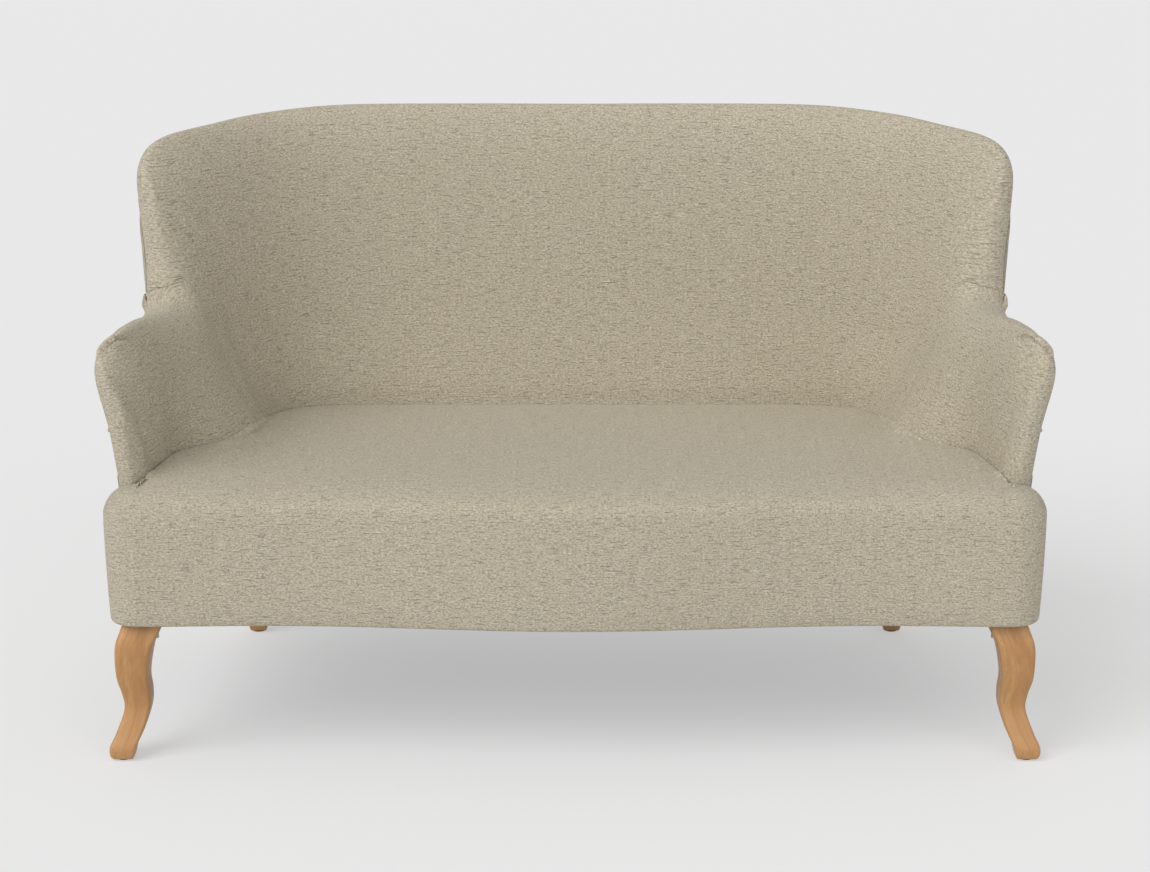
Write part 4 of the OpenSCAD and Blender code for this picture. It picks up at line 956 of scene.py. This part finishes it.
def swell(pieces, frames=20):
    """Swells the pieces, the left half like the right one, each point by no more than the piece's cap."""
    fields = blow([piece for piece, cap in pieces], frames)
    for piece, cap in pieces:
        twin = twins.get(piece.name, piece.name)
        field = (fields[piece.name] + fields[twin][::-1]) / 2
        c, r = grid_places[piece.name].T
        free = np.ones(field.shape)
        held = [v.index for v in piece.data.vertices if v.groups]
        free[c[held], r[held]] = 0
        if twin == piece.name:
            free = free * free[::-1]
        field = cap * np.tanh(eased(field, free) / cap)
        for vert, i, j in zip(piece.data.vertices, c, r):
            vert.co += vert.normal * field[i, j]
        piece.data.update()
        print(piece.name, "swells by up to", round(float(field.max()) * 1000, 1), "mm")


swell([(right_arm, 0.0018), (left_arm, 0.0018), (inside_back, 0.0025), (seat, 0.003)])

# %% [markdown]
# Each cover gets its wadding as a thickness to the inside, so it is a closed form like the
# real padded cover, and one subdivision rounds off the seat and the inside covers.


# %% Thickness and finish of the covers
def finish_cover(piece, thickness, nodes, smooth=True):
    wad = piece.modifiers.new("wadding", "SOLIDIFY")
    wad.thickness = thickness
    wad.offset = -1
    wad.use_quality_normals = True
    wad.edge_crease_rim = wad.edge_crease_outer = 1.0
    if smooth:
        soften = piece.modifiers.new("soften", "SUBSURF")
        soften.levels = soften.render_levels = 1
    piece.data.materials.append(cover_cloth)
    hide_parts(*nodes)
    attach(piece, "root")


wadding_t = 0.008
finish_cover(seat, wadding_t, ["seat_cover", "seat_foam", "border_pad"])
finish_cover(inside_back, wadding_t, ["inside_back_cover", "back_foam"])
finish_cover(right_arm, wadding_t, ["right_inside_arm_cover", "right_arm_foam"])
finish_cover(left_arm, wadding_t, ["left_inside_arm_cover", "left_arm_foam"])
finish_cover(right_outside, outside_t, ["right_outside_arm_cover"], False)
finish_cover(left_outside, outside_t, ["left_outside_arm_cover"], False)
finish_cover(outside_back, outside_t, ["outside_back_cover"], False)
print("covers finished")

# %% [markdown]
# A cabriole leg bends out at the knee, in at the ankle and out again to the foot. It has
# no round section that a lathe could turn. One rounded square after another is pulled up
# along the leg's line and resized, from the foot to the frame. The table gives, at each
# share of the height, how far the leg is kicked out and how wide it is.

# %% Legs
rail_z0, glide_h, leg_corner = 0.2178, 0.003, 0.13
front_cover_t, leg_setback = 0.004, 0.016
leg_top_w, ankle_w, foot_w, foot_kick = 0.062, 0.040, 0.037, 0.035
rear_top_w, rear_foot_w, rear_kick = 0.052, 0.032, 0.044
front_rows = np.array([
    (0, 1, foot_w * 0.86), (0.03, 1.02, foot_w), (0.09, 0.97, ankle_w), (0.18, 0.71, ankle_w * 1.01),
    (0.34, 0.38, ankle_w * 0.98), (0.46, 0.38, mix(ankle_w, leg_top_w, 0.14)),
    (0.6, 0.5, mix(ankle_w, leg_top_w, 0.36)), (0.81, 0.4, mix(ankle_w, leg_top_w, 0.74)),
    (0.93, 0.12, mix(ankle_w, leg_top_w, 0.95)), (1, 0, leg_top_w * 0.92)])
rear_rows = np.array([
    (0, 1, rear_foot_w * 0.86), (0.05, 0.96, rear_foot_w),
    (0.25, 0.74, mix(rear_foot_w, rear_top_w, 0.15)),
    (0.6, 0.33, mix(rear_foot_w, rear_top_w, 0.5)), (1, 0, rear_top_w)])


def rounded_square(corner, steps=5):
    """Points of a square of side 1 with rounded corners, the corner's radius as a share of the side."""
    ring, h = [], 0.5 - corner
    for k in range(4):
        sx, sy = (1 if k in (0, 3) else -1), (1 if k < 2 else -1)
        for i in range(steps + 1):
            a = math.pi / 2 * (k + i / steps)
            ring.append((sx * h + corner * math.cos(a), sy * h + corner * math.sin(a)))
    return ring


def curved_leg(name, top, rows, kick, node, rings=64):
    shape = rounded_square(leg_corner)
    leg = bmesh.new()
    grain = leg.verts.layers.float_vector.new("grain")
    loop = bmesh.ops.create_circle(leg, segments=len(shape), radius=foot_w / 2)["verts"]
    places = np.linspace(0, len(rows) - 1, rings)
    line = along_rows(rows, places)
    z = mix(glide_h, rail_z0, np.clip(line[:, 0], 0, 1))
    z[0], z[-1] = glide_h, rail_z0
    centres = np.column_stack([top[0] + kick[0] * line[:, 1], top[1] + kick[1] * line[:, 1], z])
    walked = np.concatenate([[0], np.cumsum(np.linalg.norm(np.diff(centres, axis=0), axis=1))])
    for i in range(rings):
        if i:
            edges = [e for e in leg.edges if all(v in loop_set for v in e.verts)]
            new = bmesh.ops.extrude_edge_only(leg, edges=edges)["geom"]
            fresh = [g for g in new if isinstance(g, bmesh.types.BMVert)]
            partner = {}
            for v in fresh:
                below = next(o for e in v.link_edges for o in [e.other_vert(v)] if o in loop_set)
                partner[below] = v
            loop = [partner[v] for v in loop]
        width = line[i, 2]
        for v, (x, y) in zip(loop, shape):
            v.co = (centres[i, 0] + x * width, centres[i, 1] + y * width, z[i])
            v[grain] = (x * width, y * width, walked[i])
        loop_set = set(loop)
    bmesh.ops.holes_fill(leg, edges=[e for e in leg.edges if e.is_boundary], sides=0)
    bmesh.ops.recalc_face_normals(leg, faces=leg.faces[:])
    for face in leg.faces:
        face.smooth = True
    piece = as_piece(name, leg)
    piece.data.materials.append(oak)
    ease_edges = piece.modifiers.new("eased edges", "BEVEL")
    ease_edges.width, ease_edges.segments, ease_edges.limit_method = 0.002, 2, "ANGLE"
    ease_edges.angle_limit = math.radians(50)
    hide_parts(node)
    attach(piece, "root")
    return piece


inset = border_taper + front_cover_t + leg_setback + leg_top_w / 2
for side, word in ((1, "right"), (-1, "left")):
    front_top = side * (half_border - inset), float(front_y(corner_x)) + inset + plan_shift
    kick = side * foot_kick, -foot_kick
    curved_leg(f"{word}_front_cabriole", front_top, front_rows, kick, f"{word}_front_leg")
    low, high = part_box(f"{word}_rear_leg")
    rear_top = (low[0] + high[0]) / 2, low[1] + rear_top_w / 2
    curved_leg(f"{word}_rear_leg_curved", rear_top, rear_rows, (0, rear_kick), f"{word}_rear_leg")
print("legs", [round(v, 4) for v in front_top], [round(v, 4) for v in rear_top])

# %% [markdown]
# Inside the settee the imported nodes keep their shapes and only get their finishes. The
# lining, hessian and webbing are stretched sheets: each is copied from its node, its
# loose triangles are joined, and the area of its outer side is printed.


# %% Stretched sheets
def stretched_copy(node, name, finish):
    sheet = bmesh.new()
    sheet.from_mesh(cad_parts[node].data)
    bmesh.ops.remove_doubles(sheet, verts=sheet.verts[:], dist=1e-5)
    bmesh.ops.recalc_face_normals(sheet, faces=sheet.faces[:])
    piece = as_piece(name, sheet)
    piece.data.materials.clear()
    piece.data.materials.append(finish)
    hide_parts(node)
    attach(piece, "root")
    print(name, "outer area", round(sum(f.area for f in piece.data.polygons) / 2, 3))
    return piece


stretched_copy("dust_cover", "dust_lining", lining)
stretched_copy("seat_hessian", "seat_hessian_cloth", hessian)
stretched_copy("back_hessian", "back_hessian_cloth", hessian)
stretched_copy("back_webbing", "back_straps", hessian)

# %% [markdown]
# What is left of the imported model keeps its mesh. Springs, screws and bolts are steel,
# the glides under the feet are plastic, and the rest is the beech frame.

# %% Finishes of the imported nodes
finish_of = {"seat_springs": steel, "spring_clips": steel, "spring_tie_wires": steel, "block_screws": steel,
             "hanger_bolts": steel, "leg_nuts": steel, "leg_glides": plastic}
for name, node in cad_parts.items():
    if node.hide_render:
        continue
    finish = finish_of.get(name, beech)
    node.data.materials.clear()
    node.data.materials.append(finish)
print("packed nodes shown", sum(not n.hide_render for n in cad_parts.values()))

# %% [markdown]
# A photographer would put this settee on a pale seamless floor, with a very large soft
# lamp high on the left and a white room around it. The floor shows its own pale colour
# to the camera and takes only part of the shadow, as the floor of a retouched
# catalogue picture does.


# %% Floor and light
def seen_or_mirrored(tree):
    """1 for what the camera sees straight, in a mirror or through glass."""
    rays = add(tree, "ShaderNodeLightPath").outputs
    mirrored = calc(tree, "MAXIMUM", rays["Is Glossy Ray"], rays["Is Transmission Ray"])
    return calc(tree, "MAXIMUM", rays["Is Camera Ray"], mirrored)


def studio():
    bm = bmesh.new()
    bmesh.ops.create_grid(bm, x_segments=2, y_segments=2, size=60)
    floor = as_piece("floor", bm)
    finish = bpy.data.materials.new("pale_floor")
    finish.use_nodes = True
    tree = finish.node_tree
    tree.nodes.remove(tree.nodes["Principled BSDF"])
    matt = add(tree, "ShaderNodeBsdfDiffuse", None, Color=screen(236, 236, 236))
    glow = add(tree, "ShaderNodeEmission", None, Color=screen(238, 238, 238), Strength=1.0)
    share = calc(tree, "MULTIPLY", seen_or_mirrored(tree), 0.5)
    both = add(tree, "ShaderNodeMixShader", None, i0=share, i1=matt.outputs[0], i2=glow.outputs[0])
    tree.links.new(both.outputs[0], tree.nodes["Material Output"].inputs["Surface"])
    floor.data.materials.append(finish)
    world = bpy.data.worlds.new("white_room")
    bpy.context.scene.world = world
    world.use_nodes = True
    sky = world.node_tree.nodes["Background"]
    sky.inputs["Color"].default_value = screen(238, 238, 238)
    strength = spread(world.node_tree, seen_or_mirrored(world.node_tree), 0, 1, 0.55, 1.0)
    world.node_tree.links.new(strength, sky.inputs["Strength"])
    return floor


def sun(name, azimuth, height, strength, angle):
    """A far lamp: azimuth 0 shines from the front, positive from the left."""
    lamp = bpy.data.objects.new(name, bpy.data.lights.new(name, "SUN"))
    lamp.data.energy, lamp.data.angle = strength, math.radians(angle)
    a, h = math.radians(azimuth), math.radians(height)
    way = Vector((-math.sin(a) * math.cos(h), -math.cos(a) * math.cos(h), math.sin(h)))
    lamp.rotation_mode = "QUATERNION"
    lamp.rotation_quaternion = way.to_track_quat("Z", "Y")
    bpy.context.scene.collection.objects.link(lamp)
    return lamp


studio()
sun("big_softbox", 51, 44, 1.66, 46)
sun("front_fill", -20, 24, 0.58, 60)
bpy.context.scene.view_settings.view_transform = "Standard"
